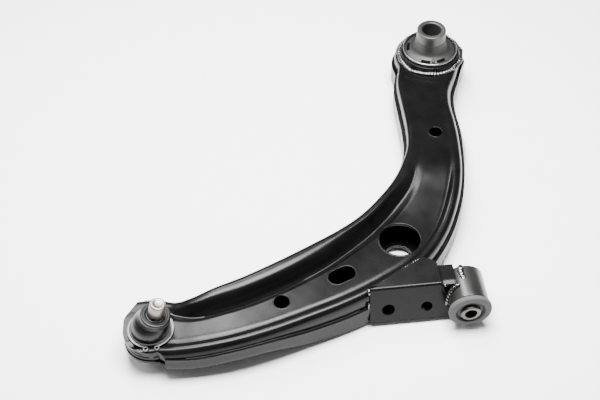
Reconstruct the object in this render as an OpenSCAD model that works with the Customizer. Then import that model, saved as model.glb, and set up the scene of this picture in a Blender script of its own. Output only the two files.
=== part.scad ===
// Front lower control arm: pressed L-shaped box section, ball joint, two bonded bushes.
// Frame: origin at the middle of the front bush bore, +Y along that bore towards the
// rear bush, +Z up, -X towards the ball joint. All sizes in millimetres.

/* [Layout] */
// Distance across the car from the front bush to the ball joint
ball_reach = 325; // [270:1:400]
// How far the ball joint sits ahead of the front bush centre
ball_ahead = 15; // [5:1:25]
// Distance along the car from the front bush to the rear bush
rear_span = 351; // [290:1:430]
// Sideways offset of the rear bush from the front bush axis
rear_offset = 25; // [10:1:40]

/* [Pressed arm] */
// Sheet thickness of both pressings
sheet = 3; // [2:0.25:4]
// Clear gap left between welded neighbours
fit_gap = 0.05; // [0.02:0.01:0.1]
// Scale of the arm's width all along its length
width_factor = 1; // [0.9:0.01:1.1]
// Radius of the round rear eye of the pressings
eye_radius = 42; // [41:1:50]
// Radius of the rounded nose around the ball joint
nose_radius = 28; // [27:0.5:32]
// Radius of the large hole at the elbow
elbow_hole_radius = 21.7; // [15:0.1:24]
// Radius of the round hole in the front limb
limb_hole_radius = 8.3; // [5:0.1:10]
// Length of the long hole in the front limb
long_hole_length = 30; // [22:1:36]
// Width of the long hole in the front limb
long_hole_width = 18; // [12:1:20]
// Radius of the hole in the rear limb
rear_hole_radius = 7.2; // [4:0.1:9]
// Radius of the elbow hole in the lower pressing
lower_hole_radius = 17; // [12:0.5:20]

/* [Front bush] */
// Outer radius of the bush tube
tube_radius = 21; // [19:0.25:24]
// Wall of the bush tube
tube_wall = 2.4; // [2:0.1:3]
// Length of the bush tube
tube_length = 39; // [34:1:46]
// Outer radius of the inner sleeve
front_sleeve_radius = 10.2; // [9:0.1:11.5]
// Radius of the bolt hole through the inner sleeve
front_bore_radius = 6.25; // [5:0.05:7]
// Length of the inner sleeve
front_sleeve_length = 53; // [50:1:60]
// Radius of the rubber flange at the open end
flange_radius = 22.6; // [22:0.1:25]

/* [Rear bush] */
// Outer radius of the bush shell
rear_shell_radius = 32.2; // [30:0.1:34]
// Outer radius of the inner sleeve
rear_sleeve_radius = 17.4; // [15:0.1:19]
// Radius of the bolt hole through the inner sleeve
rear_bore_radius = 11.2; // [9:0.1:12]
// Height of the top face of the inner sleeve
rear_sleeve_top = 59; // [50:1:62]
// Height of the bottom face of the inner sleeve
rear_sleeve_bottom = -24; // [-32:1:-20]
// Wall of the welded collar around the bush
collar_wall = 2.6; // [2:0.1:3.5]

/* [Ball joint] */
// Height of the ball centre
ball_height = 3; // [0:0.5:6]
// Radius of the ball
ball_radius = 12.5; // [11:0.1:13]
// Radius of the stud
stud_radius = 7.9; // [7:0.1:8.5]
// Distance from the ball centre to the end of the stud
stud_length = 49.5; // [44:0.5:56]
// Lean of the stud towards the bushes in the drawn pose, in degrees
stud_lean = 13; // [0:1:15]
// Outer radius of the joint housing
housing_radius = 21.9; // [21:0.1:24]
// Widest radius of the rubber boot
boot_radius = 19.6; // [18:0.1:21]
// Height of the boot's top lip above the ball centre
boot_height = 32; // [28:0.5:36]

/* [Bush bracket] */
// Thickness of the bracket plate
bracket_plate = 4; // [3:0.25:5]
// Radius of the larger hole in the bracket wall
bracket_hole_large = 6.7; // [4:0.1:8]
// Radius of the smaller hole in the bracket wall
bracket_hole_small = 6; // [4:0.1:8]

/* [Hidden] */
$fn = 72;
paint = [0.06, 0.06, 0.065];
weld = [0.16, 0.16, 0.17];
steel = [0.62, 0.62, 0.6];
zinc = [0.8, 0.79, 0.76];
rubber = [0.13, 0.13, 0.13];
plastic = [0.85, 0.84, 0.78];

// The arm is drawn at nominal lengths, then stretched to the chosen layout.
nominal_reach = 325;
nominal_span = 351;
nominal_offset = 25;
reach_factor = ball_reach / nominal_reach;
span_factor = rear_span / nominal_span;
function place(x, y) = [
    (x < 0 ? x * reach_factor : x) + (rear_offset - nominal_offset) * max(0, y) / nominal_span,
    y > 0 ? y * span_factor : y];
ball_x = -ball_reach;
ball_y = -ball_ahead;

// Stations along the middle of the arm, nose to rear eye. Columns: x, y, half width,
// web height, back rim height, channel floor height, back rim's inner edge, channel's web
// edge, front ridge height, outward lean of the front wall, height of the bottom.
COL_HALF = 2; COL_WEB = 3; COL_RIM = 4; COL_CHANNEL = 5; COL_RIM_EDGE = 6; COL_WEB_EDGE = 7;
COL_RIDGE = 8; COL_LEAN = 9; COL_BOTTOM = 10;
STATIONS = [
    [-362, -10.3, 34.7, 10, 10, 9.5, 23, 17, 10, 0, -9.5],
    [-325, -11.3, 34.7, 10, 10, 9.5, 23, 17, 10, 0, -9],
    [-301, -15.5, 32.5, 10, 12, 7, 20, 13, 11, 1, -14],
    [-278, -15, 33.5, 12, 16, 3, 18.5, 9, 13, 1, -14.5],
    [-250, -10, 36.5, 14, 20, 2, 18.5, 8, 15, 1, -11.5],
    [-216, -1, 38.5, 14, 21, 2, 19, 8, 16, 1, -13],
    [-177, 13, 40.5, 14, 22, 2, 20.5, 9, 16, 1.5, -23],
    [-136, 30, 43, 14, 22, 2, 24, 12, 16, 3, -26],
    [-98, 49, 44, 14, 22, 3, 29, 17, 16, 4, -25],
    [-66, 70, 44.5, 14, 23, 5, 32, 19, 16, 3, -22.5],
    [-40, 98, 42, 15, 25, 9, 29, 18, 18, 1, -20],
    [-20, 130, 37.5, 20, 26, 18, 22, 13, 24, 1.5, -20],
    [-7, 162, 33.5, 26, 27, 25.5, 20, 13, 27, 2.5, -20],
    [1, 195, 30, 26, 27, 25.5, 18, 11, 27, 7, -22],
    [4, 230, 29, 26, 27, 25.5, 18, 11, 27, 13, -23],
    [5, 268, 29, 24, 25, 23.5, 18, 11, 25, 12, -23],
    [9, 300, 32, 22, 22.6, 21.6, 20, 13, 22.6, 6, -22],
    [19, 330, 35.5, 22, 22.2, 21.8, 22, 14, 22.2, 1, -22],
    [25, 351, 42, 22, 22.2, 21.8, 30, 22, 22.2, 0, -22],
    [25, 400, 42, 22, 22.2, 21.8, 30, 22, 22.2, 0, -22]];
STEPS = 3;

// Smooth curve through four values, at t between the middle two.
function smooth(a, b, c, d, t) =
    0.5 * ((2 * b) + (c - a) * t + (2 * a - 5 * b + 4 * c - d) * t * t
    + (3 * b - a - 3 * c + d) * t * t * t);
last = len(STATIONS) - 1;
function station(i, t) = [for (k = [0:10]) smooth(
    STATIONS[max(i - 1, 0)][k], STATIONS[i][k], STATIONS[min(i + 1, last)][k],
    STATIONS[min(i + 2, last)][k], t)];
ROWS = concat([for (i = [0:last - 1]) for (j = [0:STEPS - 1]) station(i, j / STEPS)],
              [STATIONS[last]]);
COUNT = len(ROWS);
function spot(i) = place(ROWS[i][0], ROWS[i][1]);
function along(i) = let (d = spot(min(i + 1, COUNT - 1)) - spot(max(i - 1, 0))) d / norm(d);
function left_of(i) = let (d = along(i)) [-d[1], d[0]];

// Height where the two pressings meet, and the top of the lower pressing's lap.
function seam_height(r) = (r[COL_RIDGE] + r[COL_BOTTOM]) / 2 - 1;
lap = 4;
function half(r) = r[COL_HALF] * width_factor;
// Sideways place of the leaning front wall at a height.
function front_wall(r, z) = -half(r) - r[COL_LEAN]
    * (r[COL_RIDGE] - 7 - z) / (r[COL_RIDGE] - 7 - r[COL_BOTTOM]);

// Outer line of the upper pressing across the arm, from the back wall to the front wall.
function upper_line(r) = let (h = half(r), zr = r[COL_RIM], zf = r[COL_RIDGE],
        zw = r[COL_WEB], zc = r[COL_CHANNEL], e = r[COL_RIM_EDGE] * width_factor,
        w = r[COL_WEB_EDGE] * width_factor, s = seam_height(r),
        g = e - w, a = min(e + 4, h - 10)) [
    [h, s], [h, zr - 7], [h - 1.3, zr - 2.9], [h - 4.2, zr - 0.6], [h - 8, zr],
    [a, zr - 0.12 * (zr - zc)], [min(e, a - 2), (zr + zc) / 2], [e - 0.34 * g, zc + 0.1 * (zr - zc)],
    [w + 0.4 * g, zc], [w + 0.5, (zw + zc) / 2], [w - 3, zw - 0.1 * (zw - zc)], [w - 7, zw],
    [-h + 19, zw], [-h + 14, min(zw, zf) - 1.5], [-h + 8.5, zf - 0.3], [-h + 4.2, zf - 0.6],
    [-h + 1.3, zf - 2.9], [-h, zf - 7], [front_wall(r, s), s]];
// Its inner line: the same points one sheet thickness inside.
function upper_inside(r) = let (h = half(r), zr = r[COL_RIM], zf = r[COL_RIDGE], t = sheet,
        s = seam_height(r), o = upper_line(r), n = len(o)) concat(
    [[h - t, s], [h - t, zr - 8], [h - t - 0.8, zr - 3.9 - t * 0.6], [h - t - 2.6, zr - 1.2 - t * 0.9],
     [h - t - 6, zr - t]],
    [for (k = [5:n - 6]) [o[k][0], o[k][1] - t]],
    [[-h + t + 5.6, zf - 0.3 - t], [-h + t + 2.6, zf - 1.2 - t * 0.9],
     [-h + t + 0.8, zf - 3.9 - t * 0.6], [-h + t, zf - 8], [front_wall(r, s) + t, s]]);

// Sideways step from the upper pressing's front wall to the outside of the lower one's,
// a little more than the sheet where the wall leans.
lap_gap = fit_gap + 0.07;
function front_step(r) = (sheet + lap_gap)
    * norm([1, r[COL_LEAN] / (r[COL_RIDGE] - 7 - r[COL_BOTTOM])]);
// Outer line of the lower pressing: a pan that laps outside the upper pressing.
function lower_line(r) = let (h = half(r) + sheet + lap_gap, s = seam_height(r),
        zb = r[COL_BOTTOM], g = front_step(r)) [
    [h, s + lap], [h, zb + 6], [h - 1.6, zb + 1.8], [h - 6, zb],
    [front_wall(r, zb) - g + 6.5, zb], [front_wall(r, zb) - g + 1.6, zb + 1.8],
    [front_wall(r, zb + 6) - g, zb + 6], [front_wall(r, s + lap) - g, s + lap]];

// A line of points moved sideways by a distance, to its right as it is walked.
function unit(v) = v / max(norm(v), 0.000001);
function moved(line, d) = let (n = len(line)) [for (k = [0:n - 1])
    let (a = unit(line[k] - line[max(k - 1, 0)]), b = unit(line[min(k + 1, n - 1)] - line[k]),
         c = k == 0 ? b : k == n - 1 ? a : unit(a + b),
         turn = k == 0 || k == n - 1 ? 1 : max(0.8, c * b))
    line[k] + [c[1], -c[0]] * d / turn];
function backwards(v) = [for (k = [len(v) - 1:-1:0]) v[k]];
function sheet_loop(line) = concat(line, backwards(moved(line, sheet)));

// A closed cross-section, given for every row, swept along the arm from one row to another.
module swept(loops, first, final) {
    n = len(loops[first]);
    m = final - first;
    polyhedron(
        points = [for (i = [first:final]) for (p = loops[i])
            let (c = spot(i), v = left_of(i)) [c[0] + v[0] * p[0], c[1] + v[1] * p[0], p[1]]],
        faces = concat([[for (k = [0:n - 1]) k]], [[for (k = [n - 1:-1:0]) m * n + k]],
            [for (i = [0:m - 1]) for (k = [0:n - 1]) let (q = (k + 1) % n)
                [i * n + k, (i + 1) * n + k, (i + 1) * n + q]],
            [for (i = [0:m - 1]) for (k = [0:n - 1]) let (q = (k + 1) % n)
                [i * n + k, (i + 1) * n + q, i * n + q]]),
        convexity = 8);
}

// The sweep runs on a little past the middle of the rear eye, to where its walls are straight.
eye_start = 4;
// Everything past that line and outside the nose is cut away with this.
module beyond_ends(nose, kept) {
    translate([rear_offset, rear_span, -60]) difference() {
        translate([-90, eye_start, 0]) cube([180, 90, 140]);
        translate([0, 0, -1]) cylinder(r = kept, h = 142);
    }
    translate([0, 0, -60]) linear_extrude(140) difference() {
        translate([ball_x - 60, ball_y - 70]) square([70, 140]);
        translate([ball_x, ball_y]) circle(nose);
        translate([ball_x, ball_y]) polygon([[0, -nose], [40, -nose - 8], [40, 40], [0, 31.5],
            [-10.5, 36.5], [-nose * 0.96, nose * 0.52], [-nose * 0.9, 0], [-nose * 0.6, -nose * 0.6]]);
    }
}

module at_ball() { translate([ball_x, ball_y, ball_height]) children(); }
module at_stud() { at_ball() rotate([0, stud_lean, 0]) children(); }
module at_rear() { translate([rear_offset, rear_span, 0]) children(); }
module along_bush() { rotate([-90, 0, 0]) children(); }
module elbow_hole(r) {
    c = place(-58.6, 69);
    translate([c[0], c[1], -60]) cylinder(r = r, h = 140);
}

collar_outer = rear_shell_radius + 0.35 + collar_wall;
FIRST = 0;
FINAL = COUNT - 1;
UPPER_LOOPS = [for (r = ROWS) concat(upper_line(r), backwards(upper_inside(r)))];
LOWER_LOOPS = [for (r = ROWS) sheet_loop(lower_line(r))];

// The back half of the rear eye: a profile turned around the bush.
module eye_half(profile) {
    intersection() {
        at_rear() rotate_extrude($fn = 120) polygon(profile);
        translate([rear_offset - 90, rear_span + eye_start - 0.4, -60]) cube([180, 90, 140]);
    }
}
EYE_ROW = ROWS[COUNT - 1 - STEPS];
eye_inside = collar_outer - 2;
module upper_shell() {
    zr = EYE_ROW[COL_RIM];
    s = seam_height(EYE_ROW);
    r = eye_radius;
    color(paint) difference() {
        union() {
            eye_half([[eye_inside, zr - 0.2], [r - 4.2, zr - 0.6], [r - 1.3, zr - 2.9],
                [r, zr - 7], [r, s], [r - sheet, s], [r - sheet, zr - 8], [r - sheet - 0.8, zr - 5.7],
                [r - sheet - 2, zr - 3.4], [eye_inside, zr - 3.2]]);
            difference() {
                swept(UPPER_LOOPS, FIRST, FINAL);
                beyond_ends(nose_radius, 1);
            }
        }
        elbow_hole(elbow_hole_radius);
        for (h = [[-191.4, 1.3, limb_hole_radius], [6, 212, rear_hole_radius]])
            let (c = place(h[0], h[1])) translate([c[0], c[1], 0]) cylinder(r = h[2], h = 60);
        let (c = place(-126, 28.5), s = (long_hole_length - long_hole_width) / 2)
            translate([c[0], c[1], 0]) rotate([0, 0, 22]) linear_extrude(60) {
                translate([-s, -long_hole_width / 2]) square([2 * s, long_hole_width]);
                translate([-s, 0]) circle(long_hole_width / 2);
                translate([s, 0]) circle(long_hole_width / 2);
            }
        at_rear() translate([0, 0, 0]) cylinder(r = collar_outer + fit_gap, h = 60);
        at_ball() cylinder(r = housing_radius + fit_gap, h = 60);
    }
}

module lower_shell() {
    color(paint) difference() {
        swept(LOWER_LOOPS, FIRST, FINAL);
        beyond_ends(nose_radius, eye_radius + sheet + lap_gap + 0.4);
        elbow_hole(lower_hole_radius);
        at_rear() translate([0, 0, -60]) cylinder(r = collar_outer + fit_gap, h = 100);
        at_ball() translate([0, 0, -60]) cylinder(r = housing_radius + fit_gap, h = 100);
    }
}

// Seam beads lie on the upper pressing's wall, on top of the lower pressing's edge.
function bead_back(r) = let (h = half(r) + fit_gap, z = seam_height(r) + lap + fit_gap) [
    [h, z], [h, z + 2.2], [h + 1.3, z + 1.6], [h + 2.4, z]];
function bead_front(r) = let (z = seam_height(r) + lap + fit_gap) [
    [front_wall(r, z + 2.2) - 0.18, z + 2.2], [front_wall(r, z) - 0.18, z],
    [front_wall(r, z) - 2.4, z], [front_wall(r, z + 1.6) - 1.3, z + 1.6]];
BEAD_BACK = [for (r = ROWS) bead_back(r)];
BEAD_FRONT = [for (r = ROWS) bead_front(r)];
module seam_weld_inner() { color(weld) swept(BEAD_BACK, 7, 50); }
module seam_weld_outer() { color(weld) swept(BEAD_FRONT, 7, 21); color(weld) swept(BEAD_FRONT, 29, 50); }

nose_top = ROWS[STEPS][COL_WEB] - sheet - 1;
nose_bottom = ROWS[STEPS][COL_BOTTOM] + sheet + 0.3;
module nose_collar() {
    color(paint) translate([ball_x, ball_y, nose_bottom]) difference() {
        union() {
            cylinder(r = nose_radius - 1, h = nose_top - nose_bottom - 2.5);
            translate([0, 0, nose_top - nose_bottom - 2.5])
                cylinder(r1 = nose_radius - 1, r2 = nose_radius - 4, h = 2.5);
        }
        translate([0, 0, -1]) cylinder(r = housing_radius + fit_gap, h = 60);
        // step under the start of the channel
        translate([4, -60, nose_top - nose_bottom - 3]) cube([60, 120, 20]);
    }
}

// Bracket: top plate, leaning front wall and bottom plate joining the arm to the tube.
bracket_top = 16.2;
bracket_low = -22;
wall_lean = 17;
// Solid that fills the arm's outside shape, used to fit the bracket against the arm.
function envelope_line(r) = let (h = half(r), g = front_step(r) + 0.1) [
    [h, r[COL_BOTTOM] - 9], [h, bracket_top - 0.1],
    [-h + 2.5, bracket_top - 0.1], [-h - 0.1, r[COL_RIDGE] - 5],
    [front_wall(r, seam_height(r) + lap + 0.1) - 0.1, seam_height(r) + lap + 0.1],
    [front_wall(r, seam_height(r) + lap + 0.1) - g, seam_height(r) + lap + 0.1],
    [front_wall(r, r[COL_BOTTOM] - 9) - g, r[COL_BOTTOM] - 9]];
ENVELOPE = [for (r = ROWS) envelope_line(r)];
module bracket_blank() {
    top = [[-101, 1], [-29, 1], [-26, 27], [-31, 33], [-40, 37.5], [-64, 24.5], [-84, 12]];
    translate([0, 0, bracket_top]) linear_extrude(bracket_plate)
        polygon([for (p = top) place(p[0], p[1])]);
    // tongue, set slightly lower, that lands on the tube
    translate([0, 0, bracket_top - 1.8]) linear_extrude(bracket_plate)
        polygon([[-34, 1], [-2, 1], [-2, 26], [-34, 28]]);
    // leaning front wall
    translate([0, 1, bracket_top + bracket_plate]) rotate([-wall_lean, 0, 0])
        translate([0, bracket_plate, 0]) rotate([90, 0, 0]) linear_extrude(bracket_plate)
            polygon([[-101 * reach_factor, 0], [-27, 0], [-24, -14], [-3, -14], [-3, -42],
                     [-104 * reach_factor, -42]]);
    // bottom plate
    translate([0, 0, bracket_low]) linear_extrude(bracket_plate)
        polygon([for (p = [[-103, -10], [-3, -10], [-3, 18], [-30, 34], [-44, 30], [-72, 12]])
            place(p[0], p[1])]);
}
module bush_bracket() {
    color(paint) difference() {
        bracket_blank();
        swept(ENVELOPE, 18, 33);
        along_bush() translate([0, 0, -60]) cylinder(r = tube_radius + fit_gap, h = 120);
        for (h = [[-82 * reach_factor, bracket_hole_large], [-42, bracket_hole_small]])
            translate([h[0], 0, -6]) rotate([90 - wall_lean, 0, 0])
                translate([0, 0, -25]) cylinder(r = h[1], h = 60);
    }
}

// Bead where the bracket's top plate crosses the arm, and its end blob at the front.
module bracket_weld() {
    a = place(-84, 12);
    b = place(-64, 24.5);
    c = place(-40, 37.5);
    h = bracket_top + 0.1;
    color(weld) for (s = [[a, b], [b, c]]) let (d = s[1] - s[0], v = unit(d))
        translate([s[0][0] - v[1] * 0.12, s[0][1] + v[0] * 0.12, h]) rotate([0, 0, atan2(d[1], d[0])])
            rotate([90, 0, 90]) linear_extrude(norm(d))
                polygon([[0.1, 0], [4.2, 0], [2.8, 1.6], [0.1, 2.8]]);
}

module bush_tube() {
    color(paint) along_bush() translate([0, 0, -tube_length / 2 + 1.5]) difference() {
        cylinder(r = tube_radius, h = tube_length);
        translate([0, 0, -1]) cylinder(r = tube_radius - tube_wall, h = tube_length + 2);
    }
}

// Bead along the tongue where it lands on the tube.
module tube_weld() {
    z = bracket_top + bracket_plate - 1.8 + fit_gap;
    x = 8 - sqrt(max(tube_radius * tube_radius - z * z, 1));
    color(weld) translate([x, 24, z])
        rotate([90, 0, 0]) linear_extrude(22) difference() {
            polygon([[-12, 0], [1, 0], [0.4, 2.6], [-4, 3.2], [-9, 2.2]]);
            translate([-x, -z])
                circle(tube_radius + fit_gap, $fn = 180);
        }
}

collar_bottom = -25;
collar_top = 27;
module rear_collar() {
    color(paint) at_rear() translate([0, 0, collar_bottom]) difference() {
        cylinder(r = collar_outer, h = collar_top - collar_bottom);
        translate([0, 0, -1]) cylinder(r = rear_shell_radius + fit_gap, h = 80);
    }
}
module rear_collar_weld() {
    z = ROWS[COUNT - 4][COL_WEB] + 0.5;
    color(weld) at_rear() rotate_extrude() polygon([[collar_outer + fit_gap, z],
        [collar_outer + 4.2, z], [collar_outer + 3.6, z + 1.8], [collar_outer + 2, z + 3.4],
        [collar_outer + fit_gap, z + 4]]);
}

// Ball joint, drawn around the ball centre.
seat_outer = 16.4;
module joint_housing() {
    r = housing_radius;
    color(paint) at_ball() rotate_extrude() polygon([
        [14.6, 7.9], [14.6, 9.8], [r - 0.6, 9.8], [r - 0.6, 9.1], [r - 1.6, 9.1], [r - 1.6, 7.25],
        [r - 0.6, 7.25], [r - 0.6, 6.6], [r, 6], [r, -19], [r - 1.5, -21], [r - 4.5, -21],
        [r - 4.5, -19.4], [r - 2.9, -19.4], [r - 2.9, -16.2], [seat_outer + fit_gap, -16.2],
        [seat_outer + fit_gap, 7.9]]);
}
module housing_cap() {
    color(steel) at_ball() rotate_extrude() polygon([
        [0, -16.3], [seat_outer, -16.3], [housing_radius - 3, -16.3], [housing_radius - 3, -19.3],
        [housing_radius - 6, -19.3], [housing_radius - 8, -21.4], [0, -21.8]]);
}
module ball_seat() {
    clear = 0.08;
    color(plastic) at_ball() difference() {
        translate([0, 0, -16]) cylinder(r = seat_outer, h = 23.8);
        sphere(r = ball_radius + clear, $fn = 96);
        translate([0, 0, 4.4]) cylinder(r1 = 11.75, r2 = 15, h = 4);
    }
}
module snap_ring() {
    r = housing_radius;
    color(zinc) at_ball() translate([0, 0, 7.35]) difference() {
        union() {
            cylinder(r = r + 1.9, h = 1.6);
            for (x = [-5.5, 5.5]) translate([x, -r - 2.2, 0]) cylinder(r = 2.9, h = 1.6);
        }
        translate([0, 0, -1]) cylinder(r = r - 1.5, h = 4);
        translate([-3, -r - 8, -1]) cube([6, 14, 4]);
        for (x = [-5.5, 5.5]) translate([x, -r - 2.2, -1]) cylinder(r = 1.25, h = 4);
    }
}

// Rubber boot: rings that lean from upright at the housing to the stud's lean at the neck.
function boot_ring(p) = let (a = stud_lean * p[2])
    [for (k = [0:47]) let (q = k * 7.5, x = p[0] * cos(q), y = p[0] * sin(q), z = p[1])
        [x * cos(a) + z * sin(a), y, z * cos(a) - x * sin(a)]];
BOOT_OUT = [[boot_radius - 0.4, 10.2, 0], [boot_radius - 0.2, 12, 0], [boot_radius, 14.5, 0.1],
    [boot_radius - 0.4, 18, 0.25], [boot_radius - 1.8, 22, 0.5], [boot_radius - 3.8, 25.5, 0.75],
    [15.6, boot_height - 3.8, 0.95], [15.6, boot_height - 2, 1], [15, boot_height - 0.6, 1],
    [14, boot_height, 1], [10.4, boot_height, 1], [9.6, boot_height - 1.2, 1]];
BOOT_IN = [[8.45, boot_height - 2.4, 1], [8.45, boot_height - 4.6, 1], [11.5, boot_height - 5.6, 1],
    [14, 23, 0.75], [boot_radius - 4, 19.5, 0.5], [boot_radius - 2.4, 16, 0.25],
    [boot_radius - 2.2, 12.5, 0.05], [boot_radius - 3, 10.2, 0]];
BOOT_RINGS = concat(BOOT_OUT, BOOT_IN);
module dust_boot() {
    n = len(BOOT_RINGS);
    color(rubber) at_ball() polyhedron(
        points = [for (p = BOOT_RINGS) for (v = boot_ring(p)) v],
        faces = concat([for (i = [0:n - 1]) for (k = [0:47])
                let (j = (i + 1) % n, q = (k + 1) % 48) [i * 48 + k, j * 48 + k, j * 48 + q]],
            [for (i = [0:n - 1]) for (k = [0:47])
                let (j = (i + 1) % n, q = (k + 1) % 48) [i * 48 + k, j * 48 + q, i * 48 + q]]),
        convexity = 6);
}
module boot_neck_ring() {
    color(zinc) at_stud() translate([0, 0, boot_height - 0.9]) rotate_extrude()
        translate([8.95, 0]) circle(0.55, $fn = 24);
}
module ball_stud() {
    r = stud_radius;
    color(zinc) at_stud() union() {
        difference() {
            sphere(r = ball_radius, $fn = 96);
            translate([0, 0, -ball_radius - 5]) cylinder(r = 12, h = 7);
        }
        rotate_extrude() polygon([[0, 5], [7, 5], [7, 15], [r - 0.5, 20],
            [r - 0.5, boot_height + 0.4], [r, boot_height + 1],
            [r, stud_length - 1.2], [r - 1.2, stud_length], [5, stud_length],
            [4.4, stud_length - 0.8], [0, stud_length - 0.8]]);
    }
}

// Front bush, drawn along its own bore.
shell_out = tube_radius - tube_wall - fit_gap;
module front_bush_shell() {
    color(steel) along_bush() translate([0, 0, -tube_length / 2 + 1]) difference() {
        cylinder(r = shell_out, h = tube_length + 1);
        translate([0, 0, -1]) cylinder(r = shell_out - 1.6, h = tube_length + 4);
    }
}
module front_bush_rubber() {
    a = front_sleeve_radius + fit_gap;
    b = shell_out - 1.6 - fit_gap;
    front = -tube_length / 2 + 1 - fit_gap;
    back = tube_length / 2 + 2;
    color(rubber) along_bush() rotate_extrude() polygon([
        [a, front - 3.6], [a + 3, front - 3], [a + 5.4, front - 3], [a + 6, front - 6],
        [flange_radius - 1.2, front - 6], [flange_radius, front - 4.8],
        [flange_radius, front - 1.6], [flange_radius - 1.4, front], [b, front], [b, back - 2],
        [b - 2.5, back + 1], [a + 2, back + 1], [a, back]]);
}
module front_bush_sleeve() {
    color(steel) along_bush() translate([0, 0, -front_sleeve_length / 2]) difference() {
        cylinder(r = front_sleeve_radius, h = front_sleeve_length);
        translate([0, 0, -1]) cylinder(r = front_bore_radius, h = front_sleeve_length + 2);
    }
}

// Rear bush, drawn around its own bore.
rim_height = 31;
shell_in = rear_shell_radius - 2;
module rear_bush_shell() {
    r = rear_shell_radius;
    color(zinc) at_rear() rotate_extrude() polygon([[r, -19], [r, 28.2], [r + 0.5, 28.6],
        [r + 0.5, rim_height - 0.6], [r - 0.2, rim_height], [shell_in - 0.4, rim_height],
        [shell_in, rim_height - 1.4], [shell_in, -19]]);
}
module rear_bush_rubber() {
    a = rear_sleeve_radius + fit_gap;
    b = shell_in - fit_gap;
    color(rubber) at_rear() difference() {
        rotate_extrude() polygon([[a, -17], [a, 47], [a + 1.4, 46.6], [a + 4.4, 38],
            [a + 7.6, 31.5], [b - 2.2, 28.6], [b, 28.2], [b, -15], [b - 3, -13], [a + 4, -13]]);
        for (s = [0, 180]) rotate([0, 0, s]) translate([0, 0, -30]) linear_extrude(90)
            polygon(concat([for (t = [-32:4:32]) [27.6 * sin(t), -27.6 * cos(t)]],
                           [for (t = [32:-4:-32]) [24.8 * sin(t), -24.8 * cos(t)]]));
    }
}
module rear_bush_sleeve() {
    color(steel) at_rear() translate([0, 0, rear_sleeve_bottom]) difference() {
        cylinder(r = rear_sleeve_radius, h = rear_sleeve_top - rear_sleeve_bottom);
        translate([0, 0, -1]) cylinder(r = rear_bore_radius, h = 120);
    }
}

upper_shell();
lower_shell();
seam_weld_inner();
seam_weld_outer();
nose_collar();
bush_bracket();
bracket_weld();
bush_tube();
tube_weld();
rear_collar();
rear_collar_weld();
joint_housing();
housing_cap();
ball_seat();
snap_ring();
dust_boot();
boot_neck_ring();
ball_stud();
front_bush_shell();
front_bush_rubber();
front_bush_sleeve();
rear_bush_shell();
rear_bush_rubber();
rear_bush_sleeve();
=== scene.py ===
"""Front lower control arm: finished surfaces for its pressings, ball joint, bracket and bushes.

Everything is in metres, in the motion frame: origin at the middle of the front bush bore, +Y along that
bore towards the rear bush, +Z up and -X towards the ball joint. Section tables are in millimetres.
"""

import logging
from dataclasses import dataclass
from enum import Enum

import bmesh
import bpy
import numpy as np
from mathutils import Matrix

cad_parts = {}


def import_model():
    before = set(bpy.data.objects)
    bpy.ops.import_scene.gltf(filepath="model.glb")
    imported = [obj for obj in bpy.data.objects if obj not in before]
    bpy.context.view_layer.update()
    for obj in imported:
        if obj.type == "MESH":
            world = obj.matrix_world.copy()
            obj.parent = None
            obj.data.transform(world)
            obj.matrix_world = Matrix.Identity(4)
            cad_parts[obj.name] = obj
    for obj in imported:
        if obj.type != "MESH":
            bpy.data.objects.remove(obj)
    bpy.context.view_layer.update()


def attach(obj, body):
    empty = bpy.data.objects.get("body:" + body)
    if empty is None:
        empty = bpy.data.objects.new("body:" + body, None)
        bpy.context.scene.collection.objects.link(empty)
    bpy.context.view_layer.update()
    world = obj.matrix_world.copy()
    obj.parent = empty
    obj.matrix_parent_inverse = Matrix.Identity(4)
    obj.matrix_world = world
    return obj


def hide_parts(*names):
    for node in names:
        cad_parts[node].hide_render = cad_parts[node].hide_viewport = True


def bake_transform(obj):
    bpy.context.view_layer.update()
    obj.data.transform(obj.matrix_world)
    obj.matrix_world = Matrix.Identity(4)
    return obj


LOG = logging.getLogger("control_arm")
MM = 0.001
SHARP = 38.0  # angle in degrees past which an edge stays crisp


class Grain(Enum):
    """The fine surface pattern of a finish."""

    ORANGE_PEEL = "orange peel of a dipped coat"
    SPATTER = "lumps and scale of a painted weld"
    MOULDED = "fine grain of moulded rubber"
    TURNED = "fine rings left by a lathe"
    DRAWN = "faint cloudy scale of drawn steel"
    SMOOTH = "faint mottling"


class Spot(Enum):
    """Fixed places of the layout, in millimetres."""

    BALL = (-325.0, -15.0, 3.0)
    REAR = (25.0, 351.0, 0.0)

    def metres(self) -> np.ndarray:
        """Returns the place in metres."""
        return np.array(self.value) * MM

    def plan(self) -> tuple:
        """Returns the place seen from above, as x and y in millimetres."""
        return self.value[:2]


# ---------------------------------------------------------------------------------------------
# Curves and grids


def ease(t: np.ndarray) -> np.ndarray:
    """Smooth step: 3t^2 - 2t^3 of t held between 0 and 1.

    Args:
        t: any array.
    Returns:
        The eased array.
    """
    t = np.clip(t, 0.0, 1.0)
    return t * t * (3.0 - 2.0 * t)


def through_weights(count: int, per_span: int) -> np.ndarray:
    """Weights of a Catmull-Rom curve through its points, so that rows = weights @ points.

    Args:
        count: number of points.
        per_span: samples in each span between two points.
    Returns:
        Array of shape (samples, count).
    """
    s = np.linspace(0, count - 1, (count - 1) * per_span + 1)
    i = np.minimum(s.astype(int), count - 2)
    t = s - i
    w = np.zeros((len(s), count))
    parts = (-t + 2 * t**2 - t**3, 2 - 5 * t**2 + 3 * t**3, t + 4 * t**2 - 3 * t**3, -(t**2) + t**3)
    for k, part in enumerate(parts):
        np.add.at(w, (np.arange(len(s)), np.clip(i + k - 1, 0, count - 1)), 0.5 * part)
    return w


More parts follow.
